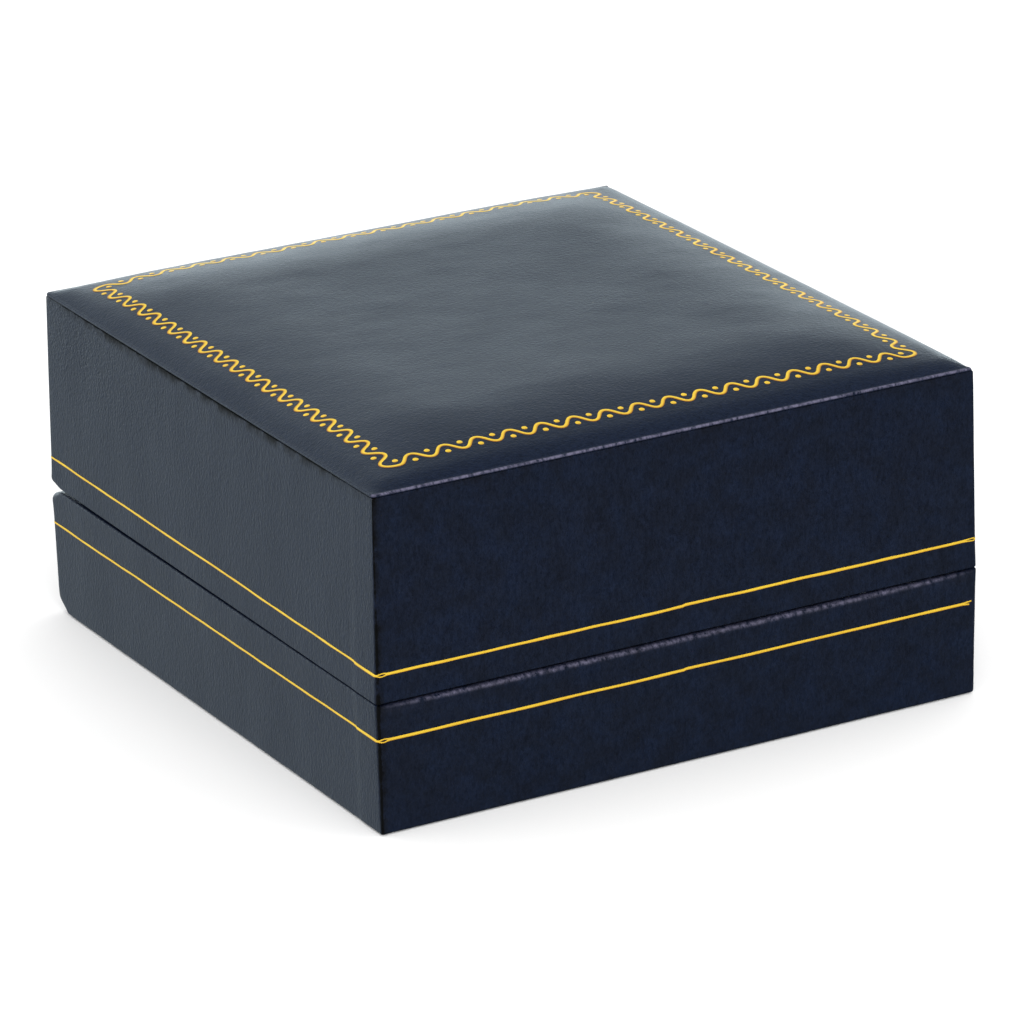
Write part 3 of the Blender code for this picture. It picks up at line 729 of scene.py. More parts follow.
fold_angle = np.radians(np.linspace(0, 90, 8))
share = np.linspace(0, 1, 62)[1:]
inner_ring = TOP_HALF[0] - 1.0 * mm
over_inset = np.concatenate([
    column(0.3 * mm), column(-LIP_PROUD + 0.05 * mm), column(-LIP_PROUD),
    column(LIP_ROUND) * (1 - np.cos(fold_angle)) - LIP_PROUD,
    column(LIP_ROUND - LIP_PROUD) * (1 - share ** 1.5) + inner_ring * share ** 1.5], 1)
over_drop = np.concatenate([
    column(LIP), column(LIP), column(LIP - 0.05 * mm),
    column(LIP_ROUND) * (1 - np.sin(fold_angle)), 0 * column(0) * share], 1)
under_inset = column(0) + np.array([inner_ring, 30 * mm, 20 * mm, 10 * mm, 5 * mm, COVER + 0.1 * mm])
under = outline(under_inset, 0.0, half=TOP_HALF)
under[..., 2] = top_face(under[..., 0], under[..., 1]) - TOP_SHEET
over = outline(over_inset, 0.0, half=TOP_HALF)
over[..., 2] = top_face(over[..., 0], over[..., 1]) - over_drop
top_points = np.concatenate([under, over], 1)
# a pale line of wear with painted highlight along the front lip's fold
at_lip = bell(over_drop + over_inset, RUB_HIGHLIGHT_PLACE, RUB_HIGHLIGHT_WIDTH) * column(FACES_FRONT)
top_skin = add_grid("top_skin", lean(top_points), TOP_LEATHER, close_columns=False, caps=True,
                    rub=np.concatenate([0 * under_inset, at_lip], 1), fold=0.0, pebble=0.0)
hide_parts("lid_top_cover")
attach(top_skin, "lid")
middle_rise = top_face(np.zeros(1), np.zeros(1))[0] - LID_HEIGHT
print("top stands", round(middle_rise * 1000, 2), "mm over its edge")

# %% [markdown]
# ## Gold as thin ribbons
#
# Foil could be painted in the leatherette's material, but then its edge would be only as
# crisp as a texture. Here it is real: a ribbon a few hundredths of a millimetre proud, with
# sloping edges that end under the surface. A ribbon needs a line of points, the surface's
# outward direction at each, and how wide it is there.

# %% The ribbon
# A ribbon's points from right to left: how far out of its half width, and how far up or down.
RIBBON = ((1.0, -1.0), (0.86, 1.0), (0.1, 1.0), (-0.86, 1.0), (-1.0, -1.0))
# how much painted shade each of these points takes: the right, lower side is painted darker
RIBBON_LOW_SHADE = (1.0, 1.0, 0.15, 0.0, 0.0)
ACROSS = len(RIBBON)
PROUD = 0.035 * mm


def unit(vectors):
    """Vectors divided by their lengths."""
    return vectors / np.linalg.norm(vectors, axis=-1, keepdims=True)


def ribbon(line, out, half_width, closed=False):
    """A grid five points across, from the right foot over the top to the left foot, along a
    line. Right is the line's direction crossed with out."""
    if closed:
        along = np.roll(line, -1, 0) - np.roll(line, 1, 0)
    else:
        along = np.gradient(line, axis=0)
    right = unit(np.cross(unit(along), out))
    half = np.broadcast_to(half_width, (len(line),))[:, None]
    return np.stack([line + right * half * reach + out * PROUD * lift for reach, lift in RIBBON], 1)


def add_ribbons(name, ribbons, body):
    """Several ribbons as one piece of foil that rides on a body; open ones are capped."""
    points, faces, count = [], [], 0
    for grid, closed in ribbons:
        rows = len(grid)
        faces += (grid_faces(rows, ACROSS, closed, True) + count).tolist()
        if not closed:
            ends = np.arange(ACROSS)
            faces += [(count + ends[::-1]).tolist(), (count + ACROSS * (rows - 1) + ends).tolist()]
        points.append(grid.reshape(-1, 3))
        count += ACROSS * rows
    low_edge = np.tile(RIBBON_LOW_SHADE, count // ACROSS)
    piece = add_mesh(name, np.concatenate(points), faces, FOIL, sharp=30.0, low_edge=low_edge)
    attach(piece, body)
    return piece


# %% [markdown]
# ## The two gold lines
#
# One line runs round the lid just over its rim, and one round the base just under its rim.
# They were stamped on the flat strip before it was wrapped, so where the wrap's end laps over
# its beginning, they step. At the front's corners, two narrow strands part and join again.
# Each line is therefore two strands that mostly lie on each other.

# %% Lines round the walls
LID_LINE = 4.0 * mm
BASE_LINE = BASE_TOP - 4.55 * mm
LINE_HALF = 0.165 * mm
LOOP_FROM, LOOP_LONG, LOOP_HALF = 0.1 * mm, 1.5 * mm, 0.15 * mm     # at the near left corner
FORK_FROM, FORK_LONG = 2.3 * mm, 1.5 * mm                           # before the right corner
fine_w = np.linspace(-STRAIGHT_W, STRAIGHT_W, 260)[1:-1] / STRAIGHT_W
fine_d = np.linspace(-STRAIGHT_D, STRAIGHT_D, 280)[1:-1] / STRAIGHT_D
ROUND = np.concatenate([
    corner(-1, 1, 90), straight(fine_d[::-1], -1, None, -1, 0),
    corner(-1, -1, 180), straight(fine_w, None, -1, 0, -1),
    corner(1, -1, 270), straight(fine_d, 1, None, 1, 0),
    corner(1, 1, 0), straight(fine_w[::-1], None, 1, 0, 1)])


def wall_line(height, inset, rim, seed, rise):
    """Points on the outer wall at a height that wanders by rise, and their outward directions."""
    places = outline(inset, height, ROUND)[:, 0]
    places[:, 2] = height + rise * uneven(places, 9 * mm, seed + 5)
    out = np.concatenate([ROUND[:, 2:], 0 * ROUND[:, :1]], 1)
    return places + out * stand_out(places, rim, seed)[:, None], out


def strands(places, out, end_gap):
    """Two strands, upper and lower, and their half widths. They part by end_gap at the corners."""
    x, y = places[:, 0], places[:, 1]
    on_front = ROUND[:, 3] < -0.99
    width = LINE_HALF + 0.035 * mm * on_front + 0.02 * mm * uneven(places, 4 * mm, 71)
    width = width + 0.05 * mm * (y < OVERLAP_Y) * (ROUND[:, 2] < -0.99)
    loop = np.sin(np.clip((x + HALF_W - LOOP_FROM) / LOOP_LONG, 0, 1) * np.pi) * (y < -HALF_D + CORNER)
    fork = np.clip((x - HALF_W + FORK_FROM) / FORK_LONG, 0, 1) * on_front
    part = np.maximum(LOOP_HALF * loop, end_gap * fork)
    up = np.array([0.0, 0.0, 1.0])
    thin = width * (0.72 - 0.27 * np.maximum(loop, fork))
    shift = (width * 0.28 + part)[:, None]
    return (places + up * shift, thin), (places - up * shift + out * 0.004 * mm, thin)


LINE_STEP = -0.10 * mm
lid_line, lid_out = wall_line(LID_LINE, lid_inset(LID_LINE), 0.0, LID_SEED, 0.05 * mm)
base_line, base_out = wall_line(BASE_LINE, base_inset(BASE_LINE), BASE_TOP, BASE_SEED, 0.04 * mm)
for line in (lid_line, base_line):
    line[(line[:, 1] < OVERLAP_Y) & (line[:, 0] < 0), 2] += LINE_STEP
leaned_out = lean(lid_line + lid_out) - lean(lid_line)
lid_strands = [(ribbon(lean(line), leaned_out, width, closed=True), True)
               for line, width in strands(lid_line, lid_out, 0.12 * mm)]
add_ribbons("foil_line_lid", lid_strands, "lid")
cut = int(np.argmax((ROUND[:, 3] < -0.99) & (base_line[:, 0] > HALF_W - 0.65 * mm)))
skip = int(np.argmax((ROUND[:, 2] > 0.99) & (base_line[:, 1] > -HALF_D + 1.3 * mm)))
base_strands = []
for number, (line, width) in enumerate(strands(base_line, base_out, 0.17 * mm)):
    order = np.r_[skip:len(line), 0:cut - number]
    base_strands.append((ribbon(line[order], base_out[order], width[order]), False))
add_ribbons("foil_line_base", base_strands, "base")

# %% [markdown]
# ## The stamped border
#
# One unbroken wave runs round the top, with a dot in each of its hollows and a rounder turn at
# each corner. Between two corner dots the wave has a whole number of periods. Its third
# harmonic rounds its turns, so that they look drawn with a compass. At a corner, a quarter of
# an ellipse about the corner dot joins one side's wave to the next.

# %% The wave
WAVES_X, WAVES_Y = 16, 18
DOT_X, DOT_Y = 37.6 * mm, 41.0 * mm
BORDER_X = -0.3 * mm         # the die landed this far off the middle
SWING = 0.93 * mm
THIRD = 0.035                # share of the third harmonic
LINE_X, LINE_Y = (half - 5.8 * mm for half in TOP_HALF)
PER_WAVE = 18                # points to a wave


def wave(count):
    """Places along a side from -1 to 1 and how far out the wave swings there: cos a less a
    share t of cos 3a, over 1 - t, where a goes through count whole turns from end to end."""
    share = np.linspace(-1, 1, count * PER_WAVE + 1)
    angle = (share + 1) * np.pi * count
    return share, SWING * (np.cos(angle) - THIRD * np.cos(3 * angle)) / (1 - THIRD)


def quarter(sign_x, sign_y, start):
    """A quarter of an ellipse about a corner dot, from an angle in degrees, without its ends."""
    angle = math.radians(start) + np.linspace(0, np.pi / 2, 14)[1:-1]
    reach_x, reach_y = LINE_X + SWING - DOT_X, LINE_Y + SWING - DOT_Y
    return np.stack([sign_x * DOT_X + reach_x * np.cos(angle), sign_y * DOT_Y + reach_y * np.sin(angle)], -1)


share_x, swing_x = wave(WAVES_X)
share_y, swing_y = wave(WAVES_Y)
front = np.stack([share_x * DOT_X, -(LINE_Y + swing_x)], -1)
right = np.stack([LINE_X + swing_y, share_y * DOT_Y], -1)
border = np.concatenate([front, quarter(1, -1, 270), right, quarter(1, 1, 0), -front, quarter(-1, 1, 90),
                         -right, quarter(-1, -1, 180)]) + [BORDER_X, 0]
print("border points:", len(border), "wave lengths in mm:",
      round(2000 * DOT_X / WAVES_X, 2), round(2000 * DOT_Y / WAVES_Y, 2))


def on_top(plan):
    """Points of the padded top over a plan, and the top's outward direction there."""
    x, y = plan[:, 0], plan[:, 1]
    step = 0.05 * mm
    slope_x = (top_face(x + step, y) - top_face(x - step, y)) / (2 * step)
    slope_y = (top_face(x, y + step) - top_face(x, y - step)) / (2 * step)
    return np.stack([x, y, top_face(x, y)], -1), unit(np.stack([-slope_x, -slope_y, 0 * x + 1], -1))


wave_line, wave_out = on_top(border)
pressure = 0.28 * mm + 0.02 * mm * uneven(wave_line, 3 * mm, 91)
leaned_out = lean(wave_line + wave_out) - lean(wave_line)
add_ribbons("foil_wave", [(ribbon(lean(wave_line), leaned_out, pressure, closed=True), True)], "lid")

# %% [markdown]
# ## The dots
#
# The same die stamps a dot in every hollow of the wave and one inside each corner. There are
# 136 of them, so each has only a few faces: two rings of twelve points, closed above and below.
# All of them are placed at once, as one array of centres by one array of points round a dot.

# %% Dots
DOT_RADIUS = 0.43 * mm
DOT_AWAY = 0.67 * mm         # from the wave's middle line
DOT_POINTS = 12


def side_dots(count, half, line, along_x):
    """Centres of a side's outer and inner dots: outer ones where the wave swings in."""
    outer = (np.arange(count) + 0.5) / count * 2 - 1
    inner = np.arange(1, count) / count * 2 - 1
    places = np.concatenate([outer, inner]) * half
    away = np.concatenate([np.full(count, line + DOT_AWAY), np.full(count - 1, line - DOT_AWAY)])
    return np.stack([places, away] if along_x else [away, places], -1)


front_dots = side_dots(WAVES_X, DOT_X, LINE_Y, True) * [1, -1]
right_dots = side_dots(WAVES_Y, DOT_Y, LINE_X, False)
corner_dots = np.array([[-1, -1], [1, -1], [1, 1], [-1, 1]]) * [DOT_X, DOT_Y]
centres = np.concatenate([front_dots, -front_dots, right_dots, -right_dots, corner_dots])
centres = centres + [BORDER_X, 0]
angle = np.linspace(0, 2 * np.pi, DOT_POINTS, endpoint=False)
ring = np.stack([np.cos(angle), np.sin(angle)], -1) * DOT_RADIUS
plan = np.stack([centres[:, None] + ring, centres[:, None] + ring * 0.82], 1)
dot_points, dot_out = on_top(plan.reshape(-1, 2))
lift = np.tile(np.repeat([-0.03 * mm, 0.032 * mm], DOT_POINTS), len(centres))[:, None]
dot_points = lean(dot_points + dot_out * lift)
ids = np.arange(2 * DOT_POINTS).reshape(2, DOT_POINTS)
after = np.roll(ids, -1, 1)
walls = np.stack([ids[0], after[0], after[1], ids[1]], -1)
shift = np.arange(len(centres))[:, None, None] * 2 * DOT_POINTS
faces = (walls[None] + shift).reshape(-1, 4).tolist()
faces += (ids[1][None] + shift[:, 0]).tolist() + (ids[0][::-1][None] + shift[:, 0]).tolist()
# the dots' front side takes painted shade
towards_front = np.clip(-np.sin(np.tile(angle, 2 * len(centres))), 0, 1)
dots = add_mesh("foil_dots", dot_points, faces, FOIL, sharp=30.0, low_edge=0.8 * towards_front ** 2)
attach(dots, "lid")
print("dots:", len(centres))

# %% [markdown]
# ## Woven and brushed surfaces
#
# Satin shows its floating threads as fine lines, and rolled spring steel and plated brass show
# lines too. Two sine waves that cross, each bent a little by noise, give threads. Where one of
# them is very weak, what is left is a brushed line. The same group serves cloth and metal.

# %% The weave group
WEAVE, takes, gives = new_group(
    "weave",
    {"Vector": ("Vector", None), "Size": ("Float", 2500.0), "Cross": ("Float", 0.5)},
    {"Height": "Float", "Tone": "Float"})
along = add_node(WEAVE, "TexWave", {"Vector": takes["Vector"], "Scale": takes["Size"], "Distortion": 1.5,
                                    "Detail": 2.0}, bands_direction="X")
over = add_node(WEAVE, "TexWave", {"Vector": takes["Vector"], "Scale": takes["Size"], "Distortion": 1.5,
                                   "Detail": 2.0}, bands_direction="DIAGONAL")
crossing = maths(WEAVE, "MULTIPLY", over.outputs["Fac"], takes["Cross"])
WEAVE.links.new(maths(WEAVE, "MAXIMUM", along.outputs["Fac"], crossing), gives["Height"])
slub_size = maths(WEAVE, "MULTIPLY", takes["Size"], 0.05)
slubs = add_node(WEAVE, "TexNoise", {"Vector": takes["Vector"], "Scale": slub_size, "Detail": 5.0})
WEAVE.links.new(slubs.outputs["Fac"], gives["Tone"])
print("weave gives", [socket.name for socket in gives if socket.name])

# %% [markdown]
# ## Velvet and satin
#
# Velvet is dark face on and pale along its edges, because light catches the tips of the pile,
# which is what a sheen layer does. Its pile lies in brushed patches. Satin is bright and smooth,
# with fine threads. Both ask for an attribute, deep, which is 1 where light hardly reaches.

# %% Fabrics
VELVET, tree, shader, place = new_material("navy_velvet", Roughness=0.95, Specular_IOR_Level=0.1,
                                           Sheen_Weight=0.3, Sheen_Roughness=0.32)
shader.inputs["Sheen Tint"].default_value = (0.30, 0.38, 0.75, 1.0)
pile = place_group(tree, GRAIN, Vector=place, Size=3200.0, Creases=0.9)
brushed = place_group(tree, GRAIN, Vector=stretch(tree, place, (0.5, 1.0, 1.0)), Size=900.0, Creases=0.2)
deep = mask(tree, "deep")
colour = blend_colours(tree, between(tree, brushed["Tone"], 0.0, 1.0, 0.4, 0.6), (0.0055, 0.0075, 0.023, 1),
                       (0.013, 0.017, 0.046, 1))
feed(tree, shader, Base_Color=blend_colours(tree, deep, colour, (0.0012, 0.0014, 0.0035, 1)),
     Roughness=between(tree, brushed["Tone"], 0.85, 1.0))
bump(tree, shader, pile["Height"], 0.7, 0.16 * mm)

SATIN, tree, shader, place = new_material("ivory_satin", Specular_IOR_Level=0.45, Sheen_Weight=0.15,
                                          Sheen_Roughness=0.4)
threads = place_group(tree, WEAVE, Vector=place, Size=1500.0, Cross=0.35)
deep = mask(tree, "deep")
colour = blend_colours(tree, between(tree, threads["Tone"], 0.0, 1.0), (0.80, 0.775, 0.72, 1),
                       (0.765, 0.735, 0.67, 1))
feed(tree, shader, Base_Color=blend_colours(tree, deep, colour, (0.30, 0.27, 0.22, 1)),
     Roughness=between(tree, threads["Height"], 0.30, 0.46, 0.0, 1.0))
bump(tree, shader, threads["Height"], 0.3, 0.04 * mm)
print("fabrics:", VELVET.name, SATIN.name)

# %% [markdown]
# ## Linings
#
# Inside, each half is lined with a band of fabric glued to its wall: velvet in the base, satin
# in the lid. A band is one closed profile, up one face and down the other, with its visible edge
# turned over as a half circle. Its corners are rounder than the box's, because fabric won't
# follow a sharp inner corner. In the lid the band leans in with the wall.

# %% Linings
LINING_OUT = 2.5 * mm
VELVET_THICK, SATIN_THICK = 1.0 * mm, 0.8 * mm
LINING_CORNER = 2.4 * mm

base_low, base_high = (corner.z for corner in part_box("base_lining"))
turned = VELVET_THICK / 2
insets, heights = profile(
    point(LINING_OUT, base_low),
    arc(LINING_OUT + turned, base_high - turned, turned, 0, 180, 8),
    run(LINING_OUT + VELVET_THICK, base_high - turned, base_low, 10),
    point(LINING_OUT + VELVET_THICK, base_low))
level = outline(insets, heights)
soft = np.clip((insets - LINING_OUT) / VELVET_THICK, 0, 1) * 0.07 * mm * uneven(level, 8 * mm, 51)
velvet_band = outline(insets + soft, heights, corner_radius=LINING_CORNER)
beside_pad = np.clip((13.5 * mm - heights) / (3.5 * mm), 0, 1)
base_lining = add_grid("base_lining_velvet", velvet_band, VELVET, deep=0.85 * beside_pad)
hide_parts("base_lining")
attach(base_lining, "base")

LINING_FOOT, LINING_TOP = 0.55 * mm, 24.2 * mm
turned = SATIN_THICK / 2
satin_out = LINING_OUT + 0.05 * mm
insets, heights = profile(
    arc(satin_out + turned, LINING_FOOT + turned, turned, 180, 360, 8),
    run(satin_out, LINING_FOOT + turned, LINING_TOP, 6),
    point(satin_out, LINING_TOP), point(satin_out + SATIN_THICK, LINING_TOP),
    run(satin_out + SATIN_THICK, LINING_TOP, LINING_FOOT + turned, 20))
insets = insets + lid_inset(heights)
level = outline(insets, heights)
inner = np.clip((insets - lid_inset(heights) - satin_out) / SATIN_THICK, 0, 1)
ripple = 0.05 * mm * uneven(level, 9 * mm, 61, (1.0, 1.0, 3.0))
ripple = ripple + 0.02 * mm * uneven(level, 3 * mm, 62, (1.0, 1.0, 4.0))
satin_band = outline(insets + inner * ripple, heights, corner_radius=LINING_CORNER)
beside_pad = np.clip((heights - 17.5 * mm) / (3 * mm), 0, 1)
lid_lining = add_grid("lid_lining_satin", lean(satin_band), SATIN, deep=0.8 * beside_pad)
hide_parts("lid_lining")
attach(lid_lining, "lid")

# %% [markdown]
# ## Cushions from a grid and a skirt
#
# Both pads are a face with rolled edges. The face is a grid over a rectangle, and its four
# corner blocks are carried to quarter discs, so that the outline is rounded. Rings stepping
# outward and down from the grid's border make the rolled edge and the side, and the last ring
# is capped. Whatever the face does, such as a slit or a crown, is a height over the plan.

# %% Cushion helper
def rounded_plan(xs, ys, corner_size):
    """A grid of places whose corner blocks become quarter discs: u sqrt(1 - v^2/2) and the
    same with u and v swapped, where u and v go from 0 to 1 through the block."""
    x, y = np.meshgrid(xs, ys, indexing="ij")
    u = np.clip((np.abs(x) - xs[-1]) / corner_size + 1, 0, 1)
    v = np.clip((np.abs(y) - ys[-1]) / corner_size + 1, 0, 1)
    round_x = xs[-1] - corner_size + corner_size * u * np.sqrt(1 - v * v / 2)
    round_y = ys[-1] - corner_size + corner_size * v * np.sqrt(1 - u * u / 2)
    return (np.where(u > 0, np.sign(x) * round_x, x), np.where(v > 0, np.sign(y) * round_y, y))


ROLL_RINGS, SIDE_RINGS = 7, 5


def cushion(xs, ys, corner_size, height, roll, foot, up=1.0):
    """Points and faces of a cushion whose face points up (or down, with up = -1), whose edge
    rolls over by a radius, and whose side ends at a height."""
    x, y = rounded_plan(xs, ys, corner_size)
    face = np.stack([x, y, height(x, y)], -1)
    rows, columns = x.shape
    ids = np.arange(rows * columns).reshape(rows, columns)
    border = np.concatenate([ids[:-1, 0], ids[-1, :-1], ids[:0:-1, -1], ids[0, :0:-1]])
    edge = face.reshape(-1, 3)[border]
    along = np.roll(edge, -1, 0) - np.roll(edge, 1, 0)
    out = unit(np.stack([along[:, 1], -along[:, 0], 0 * along[:, 0]], -1))
    angle = np.radians(np.linspace(0, 90, ROLL_RINGS + 1))[1:, None, None]
    rings = edge + out * roll * np.sin(angle)
    rings[..., 2] -= up * roll * (1 - np.cos(angle[..., 0]))
    share = np.linspace(0, 1, SIDE_RINGS + 1)[1:, None]
    sides = np.repeat(rings[-1:], SIDE_RINGS, 0)
    sides[..., 2] = sides[..., 2] * (1 - share) + foot * share
    points = np.concatenate([face.reshape(-1, 3), rings.reshape(-1, 3), sides.reshape(-1, 3)])
    skirt_ids = np.arange((ROLL_RINGS + SIDE_RINGS) * len(border)).reshape(-1, len(border))
    layers = np.vstack([border, rows * columns + skirt_ids])
    after = np.roll(layers, -1, 1)
    skirt = np.stack([layers[:-1], layers[1:], after[1:], after[:-1]], -1).reshape(-1, 4)
    faces = np.vstack([grid_faces(rows, columns), skirt])
    cap = layers[-1][::-1]
    if up < 0:
        faces, cap = faces[:, ::-1], cap[::-1]
    return points, faces.tolist() + [cap.tolist()]


# %% [markdown]
# ## The velvet pad
#
# The pad is a soft board with slits: one across the middle for a ring, and a short one in each
# back corner for a chain. A slit is a capsule, a line with round ends. The distance to it makes
# the wall, a lip that rolls in, and the dimple round it. The grid is finer near the slits.

# %% Velvet pad
PAD_ROLL = 1.2 * mm
RING_SLIT = (0.0, 0.0, 0.0, 12.0 * mm, 0.8 * mm)       # centre x and y, turn, half length, half width
CHAIN_SLITS = ((-30 * mm, 32.7 * mm, 45.0, 5.0 * mm, 0.6 * mm),
               (30 * mm, 32.7 * mm, -45.0, 5.0 * mm, 0.6 * mm))
SLIT_DEPTH = 1.9 * mm
DIMPLE, DIMPLE_WIDTH = 0.3 * mm, 1.4 * mm
SAG, SAG_WIDTH = 0.25 * mm, 6 * mm
PAD_GAP = 0.05 * mm         # kept clear over and under the pad
PITCH = 0.2 * mm
pad_low, pad_high = (np.array(corner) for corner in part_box("jewelry_pad"))


def refined(half, fine_places):
    """Multiples of the pitch: every fourth one, and all of them within the fine places."""
    steps = np.arange(-int(half / PITCH), int(half / PITCH) + 1)
    away = np.abs(steps * PITCH)
    near = np.any([(away > low) & (away < high) for low, high in fine_places], 0)
    ends = np.abs(steps) == steps[-1]
    return steps[near | ends | (steps % 4 == 0)] * PITCH


def slit_distance(x, y):
    """Distance to the nearest slit's edge, negative inside: that to a line less half the width."""
    nearest = np.full(x.shape, 1.0)
    for centre_x, centre_y, degrees, half, width in (RING_SLIT, *CHAIN_SLITS):
        c, s = math.cos(math.radians(degrees)), math.sin(math.radians(degrees))
        along = np.abs((x - centre_x) * c + (y - centre_y) * s)
        beside = (y - centre_y) * c - (x - centre_x) * s
        nearest = np.minimum(nearest, np.hypot(np.maximum(along - half + width, 0), beside) - width)
    return nearest


def pad_face(x, y):
    """The pad's face: flat, a little uneven, lower at its edge, with slits in shallow dimples."""
    away = slit_distance(x, y)
    inward = np.clip((0.2 * mm - away) / (0.55 * mm), 0, 1)
    slit = SLIT_DEPTH * inward * inward * (3 - 2 * inward)
    dimple = DIMPLE * bell(np.maximum(away, 0), 0, DIMPLE_WIDTH)
    level = np.stack([x, y, 0 * x], -1)
    edge = np.clip(np.minimum(pad_high[0] - np.abs(x), pad_high[1] - np.abs(y)) / SAG_WIDTH, 0, 1)
    roll = 0.06 * mm * uneven(level, 12 * mm, 81) * edge
    return pad_high[2] - PAD_GAP - slit - dimple - SAG * (1 - edge) ** 2 + roll


xs = refined(pad_high[0] - PAD_ROLL, [(25.6 * mm, 34.4 * mm), (11.0 * mm, 12.4 * mm)])
ys = refined(pad_high[1] - PAD_ROLL, [(28.4 * mm, 37.0 * mm), (-1 * mm, 1.6 * mm)])
pad_points, pad_faces = cushion(xs, ys, 1.6 * mm, pad_face, PAD_ROLL, pad_low[2] + PAD_GAP)
sunk = np.clip((0.1 * mm - slit_distance(pad_points[:, 0], pad_points[:, 1])) / (0.3 * mm), 0, 1)
low_down = np.clip((11.9 * mm - pad_points[:, 2]) / (1.5 * mm), 0, 1)
velvet_pad = add_mesh("velvet_pad", pad_points, pad_faces, VELVET, sharp=80.0,
                      deep=np.maximum(sunk, low_down))
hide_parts("jewelry_pad")
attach(velvet_pad, "base")

# %% [markdown]
# ## The satin pad in the lid
#
# This pad is satin over wadding, and its swell is left to a cloth simulation. Cloth wants a piece
# of furniture's size, so a flat block is built ten times too big, remeshed into even voxels and
# blown up by pressure with its board side held still. How far a point may move is capped. Then
# it is scaled back, the gathers along its edge are pressed in, and it is leaned with the lid.

# %% Satin pad
BIG = 10.0
SATIN_HALF = (40.6 * mm, 43.2 * mm)
SATIN_HELD, SATIN_FACE = 22.5 * mm, 19.4 * mm
SATIN_SHIFT_Y = -0.2 * mm
SWELL_CAP = 1.75 * mm
SATIN_ROLL = 1.3 * mm
VOXEL = 1.0 * mm
FRAMES = 20
CLOTH = dict(quality=5, mass=0.3, use_pressure=True, uniform_pressure_force=4.0,
             vertex_group_mass="held", tension_stiffness=12.0, compression_stiffness=12.0,
             bending_stiffness=1.5)


def swollen(points, faces):
    """The block remeshed and blown up by cloth pressure, each point moved by at most the cap."""
    block = bpy.data.meshes.new("satin_block")
    block.from_pydata(((points - [0, 0, SATIN_HELD]) * BIG).tolist(), [], faces)
    work = bpy.data.objects.new("satin_block", block)
    bpy.context.scene.collection.objects.link(work)
    remesh = work.modifiers.new("Remesh", "REMESH")
    remesh.mode = "VOXEL"
    remesh.voxel_size = VOXEL * BIG
    graph = bpy.context.evaluated_depsgraph_get()
    even = bpy.data.meshes.new_from_object(work.evaluated_get(graph))
    work.modifiers.clear()
    work.data = even
    start = np.array([vertex.co for vertex in even.vertices])
    held = work.vertex_groups.new(name="held")
    held.add(np.nonzero(start[:, 2] > -VOXEL * BIG)[0].tolist(), 1.0, "REPLACE")
    cloth = work.modifiers.new("Cloth", "CLOTH")
    for key, value in CLOTH.items():
        setattr(cloth.settings, key, value)
    cloth.settings.effector_weights.gravity = 0.0
    cloth.point_cache.frame_start, cloth.point_cache.frame_end = 1, FRAMES
    for number in range(1, FRAMES + 1):
        bpy.context.scene.frame_set(number)
    graph = bpy.context.evaluated_depsgraph_get()
    blown = work.evaluated_get(graph).to_mesh()
    moved = np.array([vertex.co for vertex in blown.vertices]) - start
    faces = [list(polygon.vertices) for polygon in even.polygons]
    bpy.context.scene.frame_set(1)
    bpy.data.objects.remove(work)
    far = np.linalg.norm(moved, axis=1, keepdims=True)
    print("pressure moved points by up to", round(far.max() * 1000 / BIG, 2), "mm before the cap")
    capped = moved * np.minimum(1, SWELL_CAP * BIG / np.maximum(far, 1e-9))
    return (start + capped) / BIG + [0, 0, SATIN_HELD], faces


GATHER, GATHER_LENGTH, GATHER_REACH = 0.13 * mm, 3.1 * mm, 4.5 * mm


def gathered(points):
    """Gathers along the edge: small waves across it, bent by noise, that fade as a bell."""
    inside = np.minimum(SATIN_HALF[0] - np.abs(points[:, 0]), SATIN_HALF[1] - np.abs(points[:, 1]))
    nearer_x = SATIN_HALF[0] - np.abs(points[:, 0]) < SATIN_HALF[1] - np.abs(points[:, 1])
    along = np.where(nearer_x, points[:, 1], points[:, 0])
    bent = along + 0.9 * mm * uneven(points, 12 * mm, 101)
    folds = GATHER * np.sin(bent * 2 * np.pi / GATHER_LENGTH) + 0.08 * mm * uneven(points, 5 * mm, 102)
    fade = bell(np.maximum(inside, 0), 0, GATHER_REACH)
    fade = fade * np.clip((21.8 * mm - points[:, 2]) / (2 * mm), 0, 1)
    return points - np.stack([0 * fade, 0 * fade, folds * fade], -1)


xs = np.linspace(-1, 1, 60) * (SATIN_HALF[0] - SATIN_ROLL)
ys = np.linspace(-1, 1, 64) * (SATIN_HALF[1] - SATIN_ROLL)
satin_points, satin_faces = cushion(xs, ys, 2.0 * mm, lambda x, y: SATIN_FACE + 0 * x, SATIN_ROLL,
                                    SATIN_HELD, up=-1.0)
satin_points, satin_faces = swollen(satin_points, satin_faces)
satin_points = gathered(satin_points) + [0, SATIN_SHIFT_Y, 0]
hidden = np.clip((satin_points[:, 2] - 19.9 * mm) / (1.6 * mm), 0, 1)
satin_pad = add_mesh("satin_pad", lean(satin_points), satin_faces, SATIN, sharp=80.0, deep=hidden)
smooth = satin_pad.modifiers.new("Subdivision", "SUBSURF")
smooth.levels = smooth.render_levels = 1
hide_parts("lid_satin_pad")
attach(satin_pad, "lid")

# %% [markdown]
# ## The strips beside the hinge
#
# On each side of the metal hinge a strip of leatherette bridges the back seam inside the covers.
# In the box it is glued to both halves and bends as the lid opens; here it is a still sheet,
# attached to neither half. Its rows run along the hinge and its columns go round its thickness,
# with enough of them for a clean bend.

# %% Hinge strips
STRIP_THICK = 0.28 * mm
STRIP_ENDS = (14.6 * mm, 21.8 * mm)


